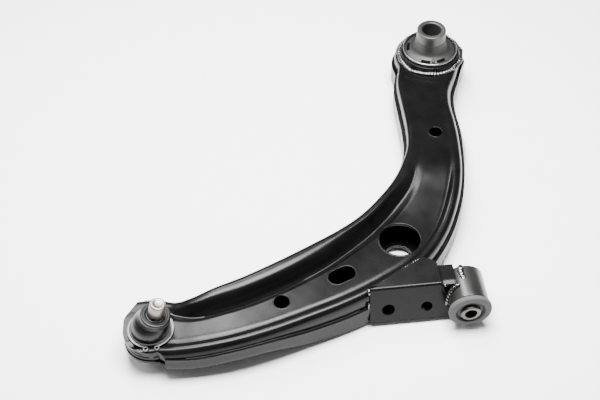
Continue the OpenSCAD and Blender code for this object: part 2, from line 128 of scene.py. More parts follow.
def near_weights(count: int, samples: int) -> np.ndarray:
    """Weights of a quadratic B-spline near its points, starting and ending on the outer ones.

    Args:
        count: number of points.
        samples: number of samples along the curve.
    Returns:
        Array of shape (samples, count).
    """
    s = np.linspace(0, count - 1e-9, samples)
    i = s.astype(int)
    t = s - i
    w = np.zeros((samples, count))
    for k, part in enumerate((0.5 * (1 - t) ** 2, 0.5 + t - t * t, 0.5 * t * t)):
        np.add.at(w, (np.arange(samples), np.clip(i + k - 1, 0, count - 1)), part)
    return w


def rounded(points: list, radius: float, steps: int = 5, closed: bool = True) -> np.ndarray:
    """Rounds each corner of a line: a quadratic curve from a cut before the corner to a cut after it.

    Args:
        points: (r, z) or (x, y) corners.
        radius: length cut from each side of a corner, held under 0.45 of the side.
        steps: samples on each rounded corner.
        closed: whether the line joins its own start.
    Returns:
        Array of points, with the corners rounded.
    """
    p = np.array(points, float)
    a, b = np.roll(p, 1, axis=0) - p, np.roll(p, -1, axis=0) - p
    la, lb = np.linalg.norm(a, axis=1)[:, None], np.linalg.norm(b, axis=1)[:, None]
    cut = np.minimum(radius, 0.45 * np.minimum(la, lb))
    start, end = p + a / la * cut, p + b / lb * cut
    t = np.linspace(0, 1, steps)[None, :, None]
    arcs = (1 - t) ** 2 * start[:, None] + 2 * t * (1 - t) * p[:, None] + t * t * end[:, None]
    if closed:
        return arcs.reshape(-1, 2)
    return np.vstack([p[:1], arcs[1:-1].reshape(-1, 2), p[-1:]])


def turned_points(profile: np.ndarray, segments: int) -> np.ndarray:
    """Turns a profile around Z: (r cos q, r sin q, z) for every angle q.

    Args:
        profile: (k, 2) array of radius and height, in millimetres.
        segments: number of angles.
    Returns:
        Array of shape (segments, k, 3), in millimetres.
    """
    q = np.linspace(0, 2 * np.pi, segments, endpoint=False)[:, None]
    r, z = profile[None, :, 0], profile[None, :, 1]
    return np.stack([r * np.cos(q), r * np.sin(q), z + 0 * q], axis=-1)


def along_y(points: np.ndarray) -> np.ndarray:
    """Lays an upright turned shape along the front bush bore, its +Z becoming +Y."""
    return np.stack([points[..., 0], points[..., 2], -points[..., 1]], axis=-1)


def leaned(points: np.ndarray, degrees: float) -> np.ndarray:
    """Leans points around the Y axis: (x cos a + z sin a, y, z cos a - x sin a).

    Args:
        points: (..., 3) array.
        degrees: the angle a, from +Z towards +X.
    Returns:
        The leaned points.
    """
    a = np.radians(degrees)
    x, y, z = points[..., 0], points[..., 1], points[..., 2]
    return np.stack([x * np.cos(a) + z * np.sin(a), y, z * np.cos(a) - x * np.sin(a)], axis=-1)


def grid_faces(rows: int, cols: int, wrap_rows: bool, wrap_cols: bool, first: int = 0) -> np.ndarray:
    """Quads of a grid of points numbered row by row.

    Args:
        rows: number of rows.
        cols: number of points in a row.
        wrap_rows: whether the last row joins the first.
        wrap_cols: whether each row closes on itself.
        first: number of the grid's first point.
    Returns:
        (n, 4) array of point numbers.
    """
    i = np.arange(rows if wrap_rows else rows - 1)[:, None]
    k = np.arange(cols if wrap_cols else cols - 1)[None, :]
    i2, k2 = (i + 1) % rows, (k + 1) % cols
    quads = np.stack([i * cols + k, i2 * cols + k, i2 * cols + k2, i * cols + k2], axis=-1)
    return quads.reshape(-1, 4) + first


def make_mesh(name: str, parts: list, sharp: float = SHARP) -> bpy.types.Object:
    """Joins grids into one object, merges doubled points, turns the faces outwards and shades it smooth.

    Args:
        name: object name.
        parts: list of (points in metres (n, 3), quads (m, 4)), each a closed surface.
        sharp: angle in degrees past which an edge stays crisp.
    Returns:
        The new object, at the origin.
    """
    points, quads, total = [], [], 0
    for p, q in parts:
        p = p.reshape(-1, 3)
        t = np.vstack([q[:, [0, 1, 2]], q[:, [0, 2, 3]]])
        volume = np.einsum("ij,ij->i", p[t[:, 0]], np.cross(p[t[:, 1]], p[t[:, 2]])).sum()
        points.append(p)
        quads.append((q if volume > 0 else q[:, ::-1]) + total)
        total += len(p)
    points, quads = np.vstack(points), np.vstack(quads)
    mesh = bpy.data.meshes.new(name)
    mesh.vertices.add(len(points))
    mesh.vertices.foreach_set("co", points.astype(np.float32).ravel())
    mesh.loops.add(quads.size)
    mesh.loops.foreach_set("vertex_index", quads.astype(np.int32).ravel())
    mesh.polygons.add(len(quads))
    mesh.polygons.foreach_set("loop_start", np.arange(0, quads.size, 4, dtype=np.int32))
    mesh.polygons.foreach_set("loop_total", np.full(len(quads), 4, dtype=np.int32))
    mesh.update(calc_edges=True)
    mesh.validate()
    merge_doubles(mesh)
    finish_shading(mesh, sharp)
    obj = bpy.data.objects.new(name, mesh)
    bpy.context.scene.collection.objects.link(obj)
    return obj


def merge_doubles(mesh: bpy.types.Mesh, gap: float = 2e-7) -> None:
    """Merges points that lie within a gap, which closes poles and seams.

    Args:
        mesh: the mesh to change.
        gap: longest distance that is merged, in metres.
    """
    bm = bmesh.new()
    bm.from_mesh(mesh)
    bmesh.ops.remove_doubles(bm, verts=bm.verts, dist=gap)
    bmesh.ops.dissolve_degenerate(bm, edges=bm.edges, dist=1e-8)
    bm.to_mesh(mesh)
    bm.free()


def finish_shading(mesh: bpy.types.Mesh, sharp: float) -> None:
    """Shades a mesh smooth, with crisp edges where its faces bend sharply.

    Args:
        mesh: the mesh to shade.
        sharp: angle in degrees past which an edge stays crisp.
    """
    mesh.polygons.foreach_set("use_smooth", np.ones(len(mesh.polygons), dtype=bool))
    mesh.set_sharp_from_angle(angle=np.radians(sharp))
    mesh.update()


def ring_part(points: np.ndarray, place: np.ndarray) -> tuple:
    """A closed ring of closed rows, such as a turned profile.

    Args:
        points: (n, k, 3) in millimetres.
        place: where the shape's own zero goes, in metres.
    Returns:
        (points, quads) for make_mesh.
    """
    n, k = points.shape[:2]
    return points * MM + place, grid_faces(n, k, True, True)


def turned_part(profile: list, place: np.ndarray, radius: float = 0.5, segments: int = 128,
                lean: float = 0.0, flat: bool = False, closed: bool = True) -> tuple:
    """A turned solid from its profile, with every corner rounded.

    Args:
        profile: (radius, height) corners in millimetres.
        place: where the shape's own zero goes, in metres.
        radius: how much of each corner is rounded.
        segments: number of angles.
        lean: lean towards +X in degrees.
        flat: lay it along +Y.
        closed: False for a profile that starts and ends on the axis.
    Returns:
        (points, quads) for make_mesh.
    """
    p = turned_points(rounded(profile, radius, closed=closed), segments)
    p = along_y(p) if flat else leaned(p, lean)
    n, k = p.shape[:2]
    return p * MM + place, grid_faces(n, k, True, closed)


def sheet_part(outer: np.ndarray, inner: np.ndarray) -> tuple:
    """A sheet solid between two matching grids, closed around all four edges.

    Args:
        outer: (n, k, 3) grid in millimetres.
        inner: its match one sheet thickness away.
    Returns:
        (points, quads) for make_mesh.
    """
    n, k = outer.shape[:2]
    loops = np.concatenate([outer, inner[:, ::-1]], axis=1)
    quads = grid_faces(n, 2 * k, False, True)
    j = np.arange(k - 1)
    cap = np.stack([j, j + 1, 2 * k - 2 - j, 2 * k - 1 - j], axis=-1)
    base = (n - 1) * 2 * k
    return loops.reshape(-1, 3) * MM, np.vstack([quads, cap, (cap + base)[:, ::-1]])


def lumps(s: np.ndarray, q: np.ndarray, pitch: float, seed: float) -> np.ndarray:
    """Ripple of a weld bead: one wave a pitch along it, and slower uneven waves on top.

    Args:
        s: distance along the bead in millimetres, (n, 1).
        q: angle around the bead, (1, m).
        pitch: length of a ripple in millimetres.
        seed: shifts the uneven waves.
    Returns:
        Factor near 1, (n, m).
    """
    wave = 0.10 * np.sin(2 * np.pi * s / pitch + 1.1 * np.cos(q))
    slow = 0.10 * np.sin(0.41 * s + seed) + 0.08 * np.sin(0.173 * s + 2.3 * seed + q)
    fine = 0.05 * np.sin(1.9 * s + 3 * q + seed)
    return 1 + wave + slow + fine


def bead_part(path: np.ndarray, side: float, rise: float, seed: float = 0.7, pitch: float = 2.7,
              closed: bool = False, around: int = 20) -> tuple:
    """A weld bead: an ellipse carried along a path, rippled, and drawn to a point at open ends.

    Args:
        path: (n, 3) in millimetres.
        side: half width in millimetres.
        rise: half height in millimetres.
        seed: shifts the ripple.
        pitch: ripple length in millimetres.
        closed: whether the path joins its own start.
        around: points around the ellipse.
    Returns:
        (points, quads) for make_mesh.
    """
    if closed:
        tangent = np.roll(path, -1, axis=0) - np.roll(path, 1, axis=0)
    else:
        tangent = np.gradient(path, axis=0)
    tangent /= np.linalg.norm(tangent, axis=1)[:, None] + 1e-12
    across = np.cross(tangent, np.array([0.0, 0.0, 1.0]))
    across /= np.linalg.norm(across, axis=1)[:, None] + 1e-9
    up = np.cross(across, tangent)
    step = np.linalg.norm(np.diff(path, axis=0, append=path[:1] if closed else path[-1:]), axis=1)
    s = np.concatenate([[0], np.cumsum(step)[:-1]])[:, None]
    q = np.linspace(0, 2 * np.pi, around, endpoint=False)[None, :]
    size = lumps(s, q, pitch, seed)
    if not closed:
        end = s[-1]
        taper = np.sqrt(np.clip(np.minimum(s, end - s) / (1.5 * side), 0, 1))
        size = size * np.where(taper < 1e-6, 0.0, taper)
    p = (path[:, None] + across[:, None] * (side * size * np.cos(q))[..., None]
         + up[:, None] * (rise * size * np.sin(q))[..., None])
    return p * MM, grid_faces(len(path), around, closed, True)


def cut(obj: bpy.types.Object, tools: list) -> None:
    """Cuts closed tool shapes out of an object and keeps the result as its mesh.

    Args:
        obj: object to cut.
        tools: list of (points, quads), each closed.
    """
    tool = make_mesh(obj.name + "_tool", tools)
    change = obj.modifiers.new("cut", "BOOLEAN")
    change.operation, change.solver, change.object = "DIFFERENCE", "EXACT", tool
    graph = bpy.context.evaluated_depsgraph_get()
    result = bpy.data.meshes.new_from_object(obj.evaluated_get(graph))
    obj.modifiers.clear()
    old, obj.data = obj.data, result
    bpy.data.meshes.remove(old)
    bpy.data.objects.remove(tool)
    finish_shading(obj.data, SHARP)


def prism(outline: np.ndarray, low: float, high: float) -> tuple:
    """An upright closed prism over an outline, its faces drawn in to the outline's middle.

    Args:
        outline: (n, 2) in millimetres.
        low: bottom height.
        high: top height.
    Returns:
        (points, quads) for make_mesh, in metres.
    """
    centre = outline.mean(axis=0)
    rows = []
    for scale, z in ((0.0, low), (1.0, low), (1.0, high), (0.0, high)):
        xy = centre + (outline - centre) * scale
        rows.append(np.column_stack([xy, np.full(len(xy), z)]))
    p = np.stack(rows, axis=1)
    return p * MM, grid_faces(len(outline), 4, True, False)


def circle(x: float, y: float, r: float, n: int = 96) -> np.ndarray:
    """Returns n points of a circle, in millimetres."""
    q = np.linspace(0, 2 * np.pi, n, endpoint=False)
    return np.column_stack([x + r * np.cos(q), y + r * np.sin(q)])


def slot_outline(x: float, y: float, length: float, width: float, turn: float) -> np.ndarray:
    """Outline of a long round-ended hole: points of a circle, shifted out along the hole by sign.

    Args:
        x, y: middle, in millimetres.
        length: whole length.
        width: whole width.
        turn: angle from +X in degrees.
    Returns:
        (96, 2) outline.
    """
    p = circle(0, 0, width / 2)
    p[:, 0] += np.sign(np.cos(np.linspace(0, 2 * np.pi, 96, endpoint=False)) + 1e-9) * (length - width) / 2
    a = np.radians(turn)
    return np.column_stack([x + p[:, 0] * np.cos(a) - p[:, 1] * np.sin(a),
                            y + p[:, 0] * np.sin(a) + p[:, 1] * np.cos(a)])


# ---------------------------------------------------------------------------------------------
# Finishes


@dataclass(frozen=True)
class Finish:
    """A surface finish and the node material that shows it."""

    name: str
    colour: tuple
    metallic: float
    roughness: float
    grain: Grain
    coat: float = 0.0
    specular: float = 0.5
    spread: float = 0.3
    bump: float = 0.2
    dust: float = 0.0
    axis: int = 2
    centre: tuple = (0.0, 0.0, 0.0)

    def material(self) -> bpy.types.Material:
        """Builds the node material the first time that it is asked for.

        Returns:
            The material.
        """
        found = bpy.data.materials.get(self.name)
        if found:
            return found
        mat = bpy.data.materials.new(self.name)
        mat.use_nodes = True
        tree = mat.node_tree
        shader = tree.nodes["Principled BSDF"]
        shader.inputs["Metallic"].default_value = self.metallic
        shader.inputs["Specular IOR Level"].default_value = self.specular
        shader.inputs["Coat Weight"].default_value = self.coat
        shader.inputs["Coat Roughness"].default_value = 0.12
        place = tree.nodes.new("ShaderNodeTexCoord").outputs["Object"]
        self._colour(tree, shader, place)
        self._roughness(tree, shader, place)
        self._bump(tree, shader, place)
        return mat

    @staticmethod
    def _noise(tree: bpy.types.NodeTree, place: bpy.types.NodeSocket, scale: float, detail: float = 4.0,
               rough: float = 0.55) -> bpy.types.NodeSocket:
        """Adds a noise over object coordinates.

        Args:
            tree: node tree of the material.
            place: socket that gives the coordinates.
            scale: size of the pattern, in waves a metre.
            detail: number of finer layers.
            rough: strength of the finer layers.
        Returns:
            The noise's factor socket.
        """
        node = tree.nodes.new("ShaderNodeTexNoise")
        node.inputs["Scale"].default_value = scale
        node.inputs["Detail"].default_value = detail
        node.inputs["Roughness"].default_value = rough
        tree.links.new(place, node.inputs["Vector"])
        return node.outputs["Fac"]

    @staticmethod
    def _ramp(tree: bpy.types.NodeTree, factor: bpy.types.NodeSocket, low: float, high: float,
              start: tuple, end: tuple) -> bpy.types.NodeSocket:
        """Adds a ramp between two colours.

        Args:
            tree: node tree of the material.
            factor: socket that drives the ramp.
            low: factor at which the ramp starts.
            high: factor at which it ends.
            start: colour up to the start.
            end: colour past the end.
        Returns:
            The ramp's colour socket.
        """
        node = tree.nodes.new("ShaderNodeValToRGB")
        node.color_ramp.elements[0].position = low
        node.color_ramp.elements[1].position = high
        node.color_ramp.elements[0].color = start
        node.color_ramp.elements[1].color = end
        tree.links.new(factor, node.inputs["Fac"])
        return node.outputs["Color"]

    def _dusted(self, tree: bpy.types.NodeTree, place: bpy.types.NodeSocket,
                colour: bpy.types.NodeSocket) -> bpy.types.NodeSocket:
        """Scatters pale specks over a colour, in patches: specks times patches times the share of dust.

        Args:
            tree: node tree of the material.
            place: socket that gives the coordinates.
            colour: socket of the colour under the dust.
        Returns:
            The socket of the dusted colour.
        """
        black, white = (0, 0, 0, 1), (1, 1, 1, 1)
        cells = tree.nodes.new("ShaderNodeTexVoronoi")
        cells.inputs["Scale"].default_value = 210.0
        tree.links.new(place, cells.inputs["Vector"])
        speck = self._ramp(tree, cells.outputs["Distance"], 0.03, 0.075, white, black)
        patch = self._ramp(tree, self._noise(tree, place, 60.0), 0.52, 0.66, black, white)
        both = tree.nodes.new("ShaderNodeMath")
        both.operation = "MULTIPLY"
        tree.links.new(speck, both.inputs[0])
        tree.links.new(patch, both.inputs[1])
        share = tree.nodes.new("ShaderNodeMath")
        share.operation = "MULTIPLY"
        share.inputs[1].default_value = self.dust
        tree.links.new(both.outputs[0], share.inputs[0])
        mix = tree.nodes.new("ShaderNodeMix")
        mix.data_type = "RGBA"
        tree.links.new(share.outputs[0], mix.inputs["Factor"])
        tree.links.new(colour, mix.inputs[6])
        mix.inputs[7].default_value = (0.42, 0.41, 0.39, 1.0)
        return mix.outputs[2]

    def _colour(self, tree: bpy.types.NodeTree, shader: bpy.types.Node, place: bpy.types.NodeSocket) -> None:
        """Mottles the base colour, with dust on top where the finish has any.

        Args:
            tree: node tree of the material.
            shader: its main shader.
            place: socket that gives the coordinates.
        """
        low = tuple(c * (1 - self.spread) for c in self.colour) + (1.0,)
        high = tuple(min(1.0, c * (1 + self.spread)) for c in self.colour) + (1.0,)
        colour = self._ramp(tree, self._noise(tree, place, 45.0, 6.0), 0.3, 0.7, low, high)
        if self.dust > 0:
            colour = self._dusted(tree, place, colour)
        tree.links.new(colour, shader.inputs["Base Color"])

    def _roughness(self, tree: bpy.types.NodeTree, shader: bpy.types.Node,
                   place: bpy.types.NodeSocket) -> None:
        """Varies the roughness a little in soft clouds, as handling and dust do.

        Args:
            tree: node tree of the material.
            shader: its main shader.
            place: socket that gives the coordinates.
        """
        node = tree.nodes.new("ShaderNodeMapRange")
        node.inputs["From Min"].default_value = 0.3
        node.inputs["From Max"].default_value = 0.7
        node.inputs["To Min"].default_value = self.roughness * 0.85
        node.inputs["To Max"].default_value = min(1.0, self.roughness * 1.2)
        tree.links.new(self._noise(tree, place, 22.0, 5.0), node.inputs["Value"])
        tree.links.new(node.outputs["Result"], shader.inputs["Roughness"])

    def _bump(self, tree: bpy.types.NodeTree, shader: bpy.types.Node, place: bpy.types.NodeSocket) -> None:
        """Adds the grain as a bump: lumps, rings or clouds by the kind of finish.

        Args:
            tree: node tree of the material.
            shader: its main shader.
            place: socket that gives the coordinates.
        """
        if self.grain is Grain.TURNED:
            shift = tree.nodes.new("ShaderNodeMapping")
            shift.inputs["Location"].default_value = [-c for c in self.centre]
            tree.links.new(place, shift.inputs["Vector"])
            wave = tree.nodes.new("ShaderNodeTexWave")
            wave.wave_type = "BANDS"
            wave.bands_direction = "XYZ"[self.axis]
            wave.inputs["Scale"].default_value = 420.0
            wave.inputs["Distortion"].default_value = 1.5
            wave.inputs["Detail"].default_value = 3.0
            tree.links.new(shift.outputs["Vector"], wave.inputs["Vector"])
            height, depth = wave.outputs["Fac"], 0.00002
        elif self.grain is Grain.SPATTER:
            height, depth = self._noise(tree, place, 330.0, 5.0, 0.6), 0.0007
        elif self.grain is Grain.MOULDED:
            height, depth = self._noise(tree, place, 1500.0, 3.0, 0.6), 0.00008
        elif self.grain is Grain.ORANGE_PEEL:
            height, depth = self._noise(tree, place, 520.0, 3.0, 0.5), 0.00006
        else:
            height, depth = self._noise(tree, place, 900.0, 5.0, 0.65), 0.00005
        bump = tree.nodes.new("ShaderNodeBump")
        bump.inputs["Strength"].default_value = self.bump
        bump.inputs["Distance"].default_value = depth
        tree.links.new(height, bump.inputs["Height"])
        tree.links.new(bump.outputs["Normal"], shader.inputs["Normal"])


COAT = Finish("black_dip_coat", (0.0022, 0.0022, 0.0023), 0.0, 0.24, Grain.ORANGE_PEEL, specular=0.14,
              bump=0.25, dust=0.09)
PRESSED_COAT = Finish("black_dip_coat_small_parts", (0.0024, 0.0024, 0.0025), 0.0, 0.29, Grain.ORANGE_PEEL,
                      specular=0.13, bump=0.45, dust=0.09)
WELD_COAT = Finish("coated_weld", (0.004, 0.004, 0.0042), 0.0, 0.15, Grain.SPATTER, coat=0.8,
                   specular=0.6, bump=0.6)
SEAM_COAT = Finish("coated_seam_bead", (0.0022, 0.0022, 0.0023), 0.0, 0.42, Grain.SPATTER,
                   specular=0.12, bump=0.4)
HOUSING_COAT = Finish("housing_phosphate", (0.012, 0.012, 0.012), 0.35, 0.42, Grain.DRAWN, bump=0.5)
CAP_STEEL = Finish("cap_steel", (0.30, 0.30, 0.29), 1.0, 0.4, Grain.DRAWN, bump=0.5)
LINER = Finish("acetal_liner", (0.60, 0.58, 0.52), 0.0, 0.4, Grain.SMOOTH, spread=0.05)
SPRING = Finish("spring_steel", (0.075, 0.075, 0.072), 1.0, 0.3, Grain.DRAWN, bump=0.4)
BOOT_RUBBER = Finish("boot_rubber", (0.0022, 0.0022, 0.0024), 0.0, 0.3, Grain.MOULDED,
                     specular=0.3, bump=0.35)
BUSH_RUBBER = Finish("bush_rubber", (0.0042, 0.0042, 0.0042), 0.0, 0.5, Grain.MOULDED,
                     specular=0.25, bump=0.55, dust=0.1)
CONE_RUBBER = Finish("cone_rubber", (0.010, 0.010, 0.0095), 0.0, 0.5, Grain.MOULDED,
                     specular=0.4, bump=0.5, dust=0.1)
ZINC = Finish("bright_zinc", (0.235, 0.21, 0.195), 1.0, 0.36, Grain.TURNED, spread=0.2, bump=0.5,
              centre=tuple(Spot.BALL.metres()))
TUBE_COAT = Finish("tube_coat", (0.0075, 0.0075, 0.007), 0.0, 0.33, Grain.DRAWN, coat=0.1,
                   specular=0.4, bump=0.6, dust=0.1)
SHELL_STEEL = Finish("bush_shell_steel", (0.20, 0.20, 0.19), 1.0, 0.42, Grain.DRAWN, bump=0.5)
FRONT_SLEEVE = Finish("front_sleeve_steel", (0.09, 0.088, 0.083), 1.0, 0.36, Grain.TURNED, bump=0.5, axis=1)
REAR_SLEEVE = Finish("rear_sleeve_steel", (0.06, 0.06, 0.058), 0.8, 0.44, Grain.TURNED, bump=0.6,
                     centre=tuple(Spot.REAR.metres()))
RIM_STEEL = Finish("rear_rim_steel", (0.24, 0.24, 0.235), 1.0, 0.25, Grain.DRAWN, bump=0.35)


def dress(obj: bpy.types.Object, finish: Finish, slot: str, body: str, *nodes: str) -> bpy.types.Object:
    """Gives a piece its finish and the body it rides on, and hides the frame nodes it stands for.

    Args:
        obj: the piece.
        finish: its finish.
        slot: material slot of the record; not used.
        body: body it rides on, or an empty name for a piece left unattached.
        nodes: nodes of the frame that it stands for.
    Returns:
        The piece.
    """
    obj.data.materials.clear()
    obj.data.materials.append(finish.material())
    if nodes:
        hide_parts(*nodes)
    if body:
        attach(obj, body)
    LOG.info("%s: %d faces, %s", obj.name, len(obj.data.polygons), finish.name)
    return obj


# ---------------------------------------------------------------------------------------------
# The two pressings


class Col(Enum):
    """Columns of the station table."""

    X, Y, HALF, WEB, RIM, CHANNEL, RIM_EDGE, WEB_EDGE, RIDGE, LEAN, BOTTOM = range(11)


@dataclass
class ArmPressings:
    """Upper and lower pressings of the arm, with the beads that join them."""

    sheet: float = 3.0
    step: float = 3.12
    lap: float = 4.0
    eye: float = 42.0
    collar: float = 35.2
    nose: float = 28.0
    housing: float = 21.95
    per_span: int = 17
    outer_samples: int = 78
    stations: tuple = (
        (-362, -10.3, 34.7, 10, 10, 9.5, 23, 17, 10, 0, -9.5),
        (-325, -11.3, 34.7, 10, 10, 9.5, 23, 17, 10, 0, -9),
        (-301, -15.5, 32.5, 10, 12, 7, 20, 13, 11, 1, -14),
        (-278, -15, 33.5, 12, 16, 3, 18.5, 9, 13, 1, -14.5),
        (-250, -10, 36.5, 14, 20, 2, 18.5, 8, 15, 1, -11.5),
        (-216, -1, 38.5, 14, 21, 2, 19, 8, 16, 1, -13),
        (-177, 13, 40.5, 14, 22, 2, 20.5, 9, 16, 1.5, -23),
        (-136, 30, 43, 14, 22, 2, 24, 12, 16, 3, -26),
        (-98, 49, 44, 14, 22, 3, 29, 17, 16, 4, -25),
        (-66, 70, 44.5, 14, 23, 5, 32, 19, 16, 3, -22.5),
        (-40, 98, 42, 15, 25, 9, 29, 18, 18, 1, -20),
        (-20, 130, 37.5, 20, 26, 18, 22, 13, 24, 1.5, -20),
        (-7, 162, 33.5, 26, 27, 25.5, 20, 13, 27, 2.5, -20),
        (1, 195, 30, 26, 27, 25.5, 18, 11, 27, 7, -22),
        (4, 230, 29, 26, 27, 25.5, 18, 11, 27, 13, -23),
        (5, 268, 29, 24, 25, 23.5, 18, 11, 25, 12, -23),
        (9, 300, 32, 22, 22.6, 21.6, 20, 13, 22.6, 6, -22),
        (19, 330, 35.5, 22, 22.2, 21.8, 22, 14, 22.2, 1, -22),
        (25, 351, 42, 22, 22.2, 21.8, 30, 22, 22.2, 0, -22),
    )
    holes: tuple = (("elbow", -58.6, 69.0, 21.7), ("limb", -191.4, 1.3, 8.3), ("rear", 6.0, 212.0, 7.2))
    long_hole: tuple = (-126.0, 28.5, 30.0, 18.0, 22.0)
    under_hole: tuple = (-58.6, 69.0, 17.0)
    eye_top: float = 22.0
    eye_low: float = -22.0

    def __post_init__(self) -> None:
        """Works out the rows: a smooth curve through the stations in every column."""
        table = np.array(self.stations, float)
        rows = through_weights(len(table), self.per_span) @ table
        self.r = {c: rows[:, c.value] for c in Col}
        centre = rows[:, :2]
        tangent = np.gradient(centre, axis=0)
        tangent[-1] = (0.0, 1.0)
        tangent /= np.linalg.norm(tangent, axis=1)[:, None]
        blend = ease((rows[:, 1] - 318) / 33)[:, None]
        tangent = tangent * (1 - blend) + np.array([[0.0, 1.0]]) * blend
        tangent /= np.linalg.norm(tangent, axis=1)[:, None]
        self.centre, self.left = centre, np.column_stack([-tangent[:, 1], tangent[:, 0]])
        self.seam = (self.r[Col.RIDGE] + self.r[Col.BOTTOM]) / 2 - 1

    def front_wall(self, z: np.ndarray) -> np.ndarray:
        """Sideways place of the leaning front wall: half width, plus the lean in step with the depth.

        Args:
            z: height in millimetres, one a row.
        Returns:
            The sideways place, one a row.
        """
        r = self.r
        top = r[Col.RIDGE] - 7
        return -r[Col.HALF] - r[Col.LEAN] * (top - z) / (top - r[Col.BOTTOM])

    def placed(self, line: np.ndarray) -> np.ndarray:
        """Carries (sideways, height) lines, one a row, along the arm.

        Args:
            line: (rows, k, 2) in millimetres.
        Returns:
            (rows, k, 3) in millimetres.
        """
        xy = self.centre[:, None] + self.left[:, None] * line[..., :1]
        return np.concatenate([xy, line[..., 1:]], axis=-1)

    @staticmethod
    def lines(pairs: list, samples: int) -> np.ndarray:
        """Draws a smooth line near a list of (sideways, height) columns, for every row at once.

        Args:
            pairs: control points, each a pair of columns.
            samples: points along the line.
        Returns:
            (rows, samples, 2) in millimetres.
        """
        points = np.stack([np.stack(np.broadcast_arrays(*p), axis=-1) for p in pairs], axis=1)
        return np.einsum("sk,rkc->rsc", near_weights(points.shape[1], samples), points)

    def upper_points(self) -> tuple:
        """Control points across the upper pressing, from the back edge over the top to the front edge.

        Returns:
            Two lists of (sideways, height) columns: the outside and the inside.
        """
        r, t, s = self.r, self.sheet, self.seam
        flat = 1 - 0.8 * ease((r[Col.Y] - 140) / 60)
        h, zw = r[Col.HALF], r[Col.WEB]
        zr, zf, zc = (zw + (r[c] - zw) * flat for c in (Col.RIM, Col.RIDGE, Col.CHANNEL))
        dip = 1.3 * flat
        e, w = r[Col.RIM_EDGE], r[Col.WEB_EDGE]
        g, a = e - w, np.minimum(e + 4, h - 10)
        outer = [(h, s), (h, (s + zr - 7) / 2), (h, zr - 6), (h - 0.6, zr - 2.2), (h - 3.4, zr - 0.2),
                 (h - 8, zr),
                 (a, zr - 0.12 * (zr - zc)), (np.minimum(e, a - 2), (zr + zc) / 2),
                 (e - 0.34 * g, zc + 0.1 * (zr - zc)), (w + 0.4 * g, zc), (w + 0.5, (zw + zc) / 2),
                 (w - 3, zw - 0.1 * (zw - zc)), (w - 5.5, zw + 0.05), (w - 9, zw), ((w - 9 - h + 21) / 2, zw),
                 (-h + 21, zw), (-h + 17.5, zw - 0.15 * dip),
                 (-h + 13.5, np.minimum(zw, zf) - dip), (-h + 10.8, zf - 0.75 * dip), (-h + 8, zf),
                 (-h + 4.6, zf - 0.4), (-h + 1.5, zf - 2.8), (-h, zf - 7),
                 ((self.front_wall(s) - h) / 2, (s + zf - 7) / 2), (self.front_wall(s), s)]
        inner = [(h - t, s), (h - t, (s + zr - 8) / 2), (h - t, zr - 7.5), (h - t - 0.6, zr - 5.2),
                 (h - t - 2.4, zr - 3.3), (h - t - 6, zr - t)]
        inner += [(u, z - t) for u, z in outer[6:19]]
        inner += [(-h + t + 4.6, zf - t), (-h + t + 2.2, zf - 3.4), (-h + t + 0.6, zf - 5.4),
                  (-h + t, zf - 8), ((self.front_wall(s) - h) / 2 + t, (s + zf - 9) / 2),
                  (self.front_wall(s) + t, s)]
        return outer, inner

    def details(self, p: np.ndarray) -> np.ndarray:
        """Presses the small shapes into the top: a round step before the rear collar and faint waves.

        Args:
            p: (rows, k, 3) points of the upper pressing.
        Returns:
            The same points, moved in height.
        """
        away = np.hypot(p[..., 0] - 25, p[..., 1] - 351)
        step = 1.0 * (1 - ease((away - 50) / 6)) * ease((p[..., 2] - 8) / 8) * ease((away - 36) / 4)
        wave = 0.10 * np.sin(p[..., 0] * 0.11 + 0.6) * np.sin(p[..., 1] * 0.09) \
            + 0.05 * np.sin(p[..., 0] * 0.31) * np.cos(p[..., 1] * 0.27)
        q = p.copy()
        q[..., 2] -= step + 0.5 * wave + 0.08
        return q

    def pan_front(self, z: np.ndarray) -> np.ndarray:
        """Returns the sideways place of the lower pressing's front wall at height z, row by row."""
        return self.front_wall(z) - self.step

    def lower_points(self) -> tuple:
        """Control points across the lower pressing, a pan lapping outside the upper one.

        Returns:
            Two lists of (sideways, height) columns: the outside and the inside.
        """
        r, t = self.r, self.sheet
        h, zb, s = r[Col.HALF] + self.step, r[Col.BOTTOM], self.seam + self.lap
        f = self.pan_front
        outer = [(h, s), (h, (s + zb + 6) / 2), (h, zb + 5), (h - 0.8, zb + 1.6), (h - 3.6, zb + 0.2),
                 (h - 8, zb),
                 (0 * h, zb), (f(zb) + 8, zb), (f(zb) + 3.6, zb + 0.2), (f(zb) + 0.8, zb + 1.6),
                 (f(zb + 5), zb + 5), (f((s + zb + 6) / 2), (s + zb + 6) / 2), (f(s), s)]
        inner = [(h - t, s), (h - t, (s + zb + 7) / 2), (h - t, zb + 7), (h - t - 0.8, zb + 4.6),
                 (h - t - 3, zb + t + 0.2), (h - t - 6, zb + t), (0 * h, zb + t), (f(zb) + t + 6, zb + t),
                 (f(zb) + t + 3, zb + t + 0.2), (f(zb) + t + 0.8, zb + 4.6), (f(zb + 7) + t, zb + 7),
                 (f((s + zb + 7) / 2) + t, (s + zb + 7) / 2), (f(s) + t, s)]
        return outer, inner

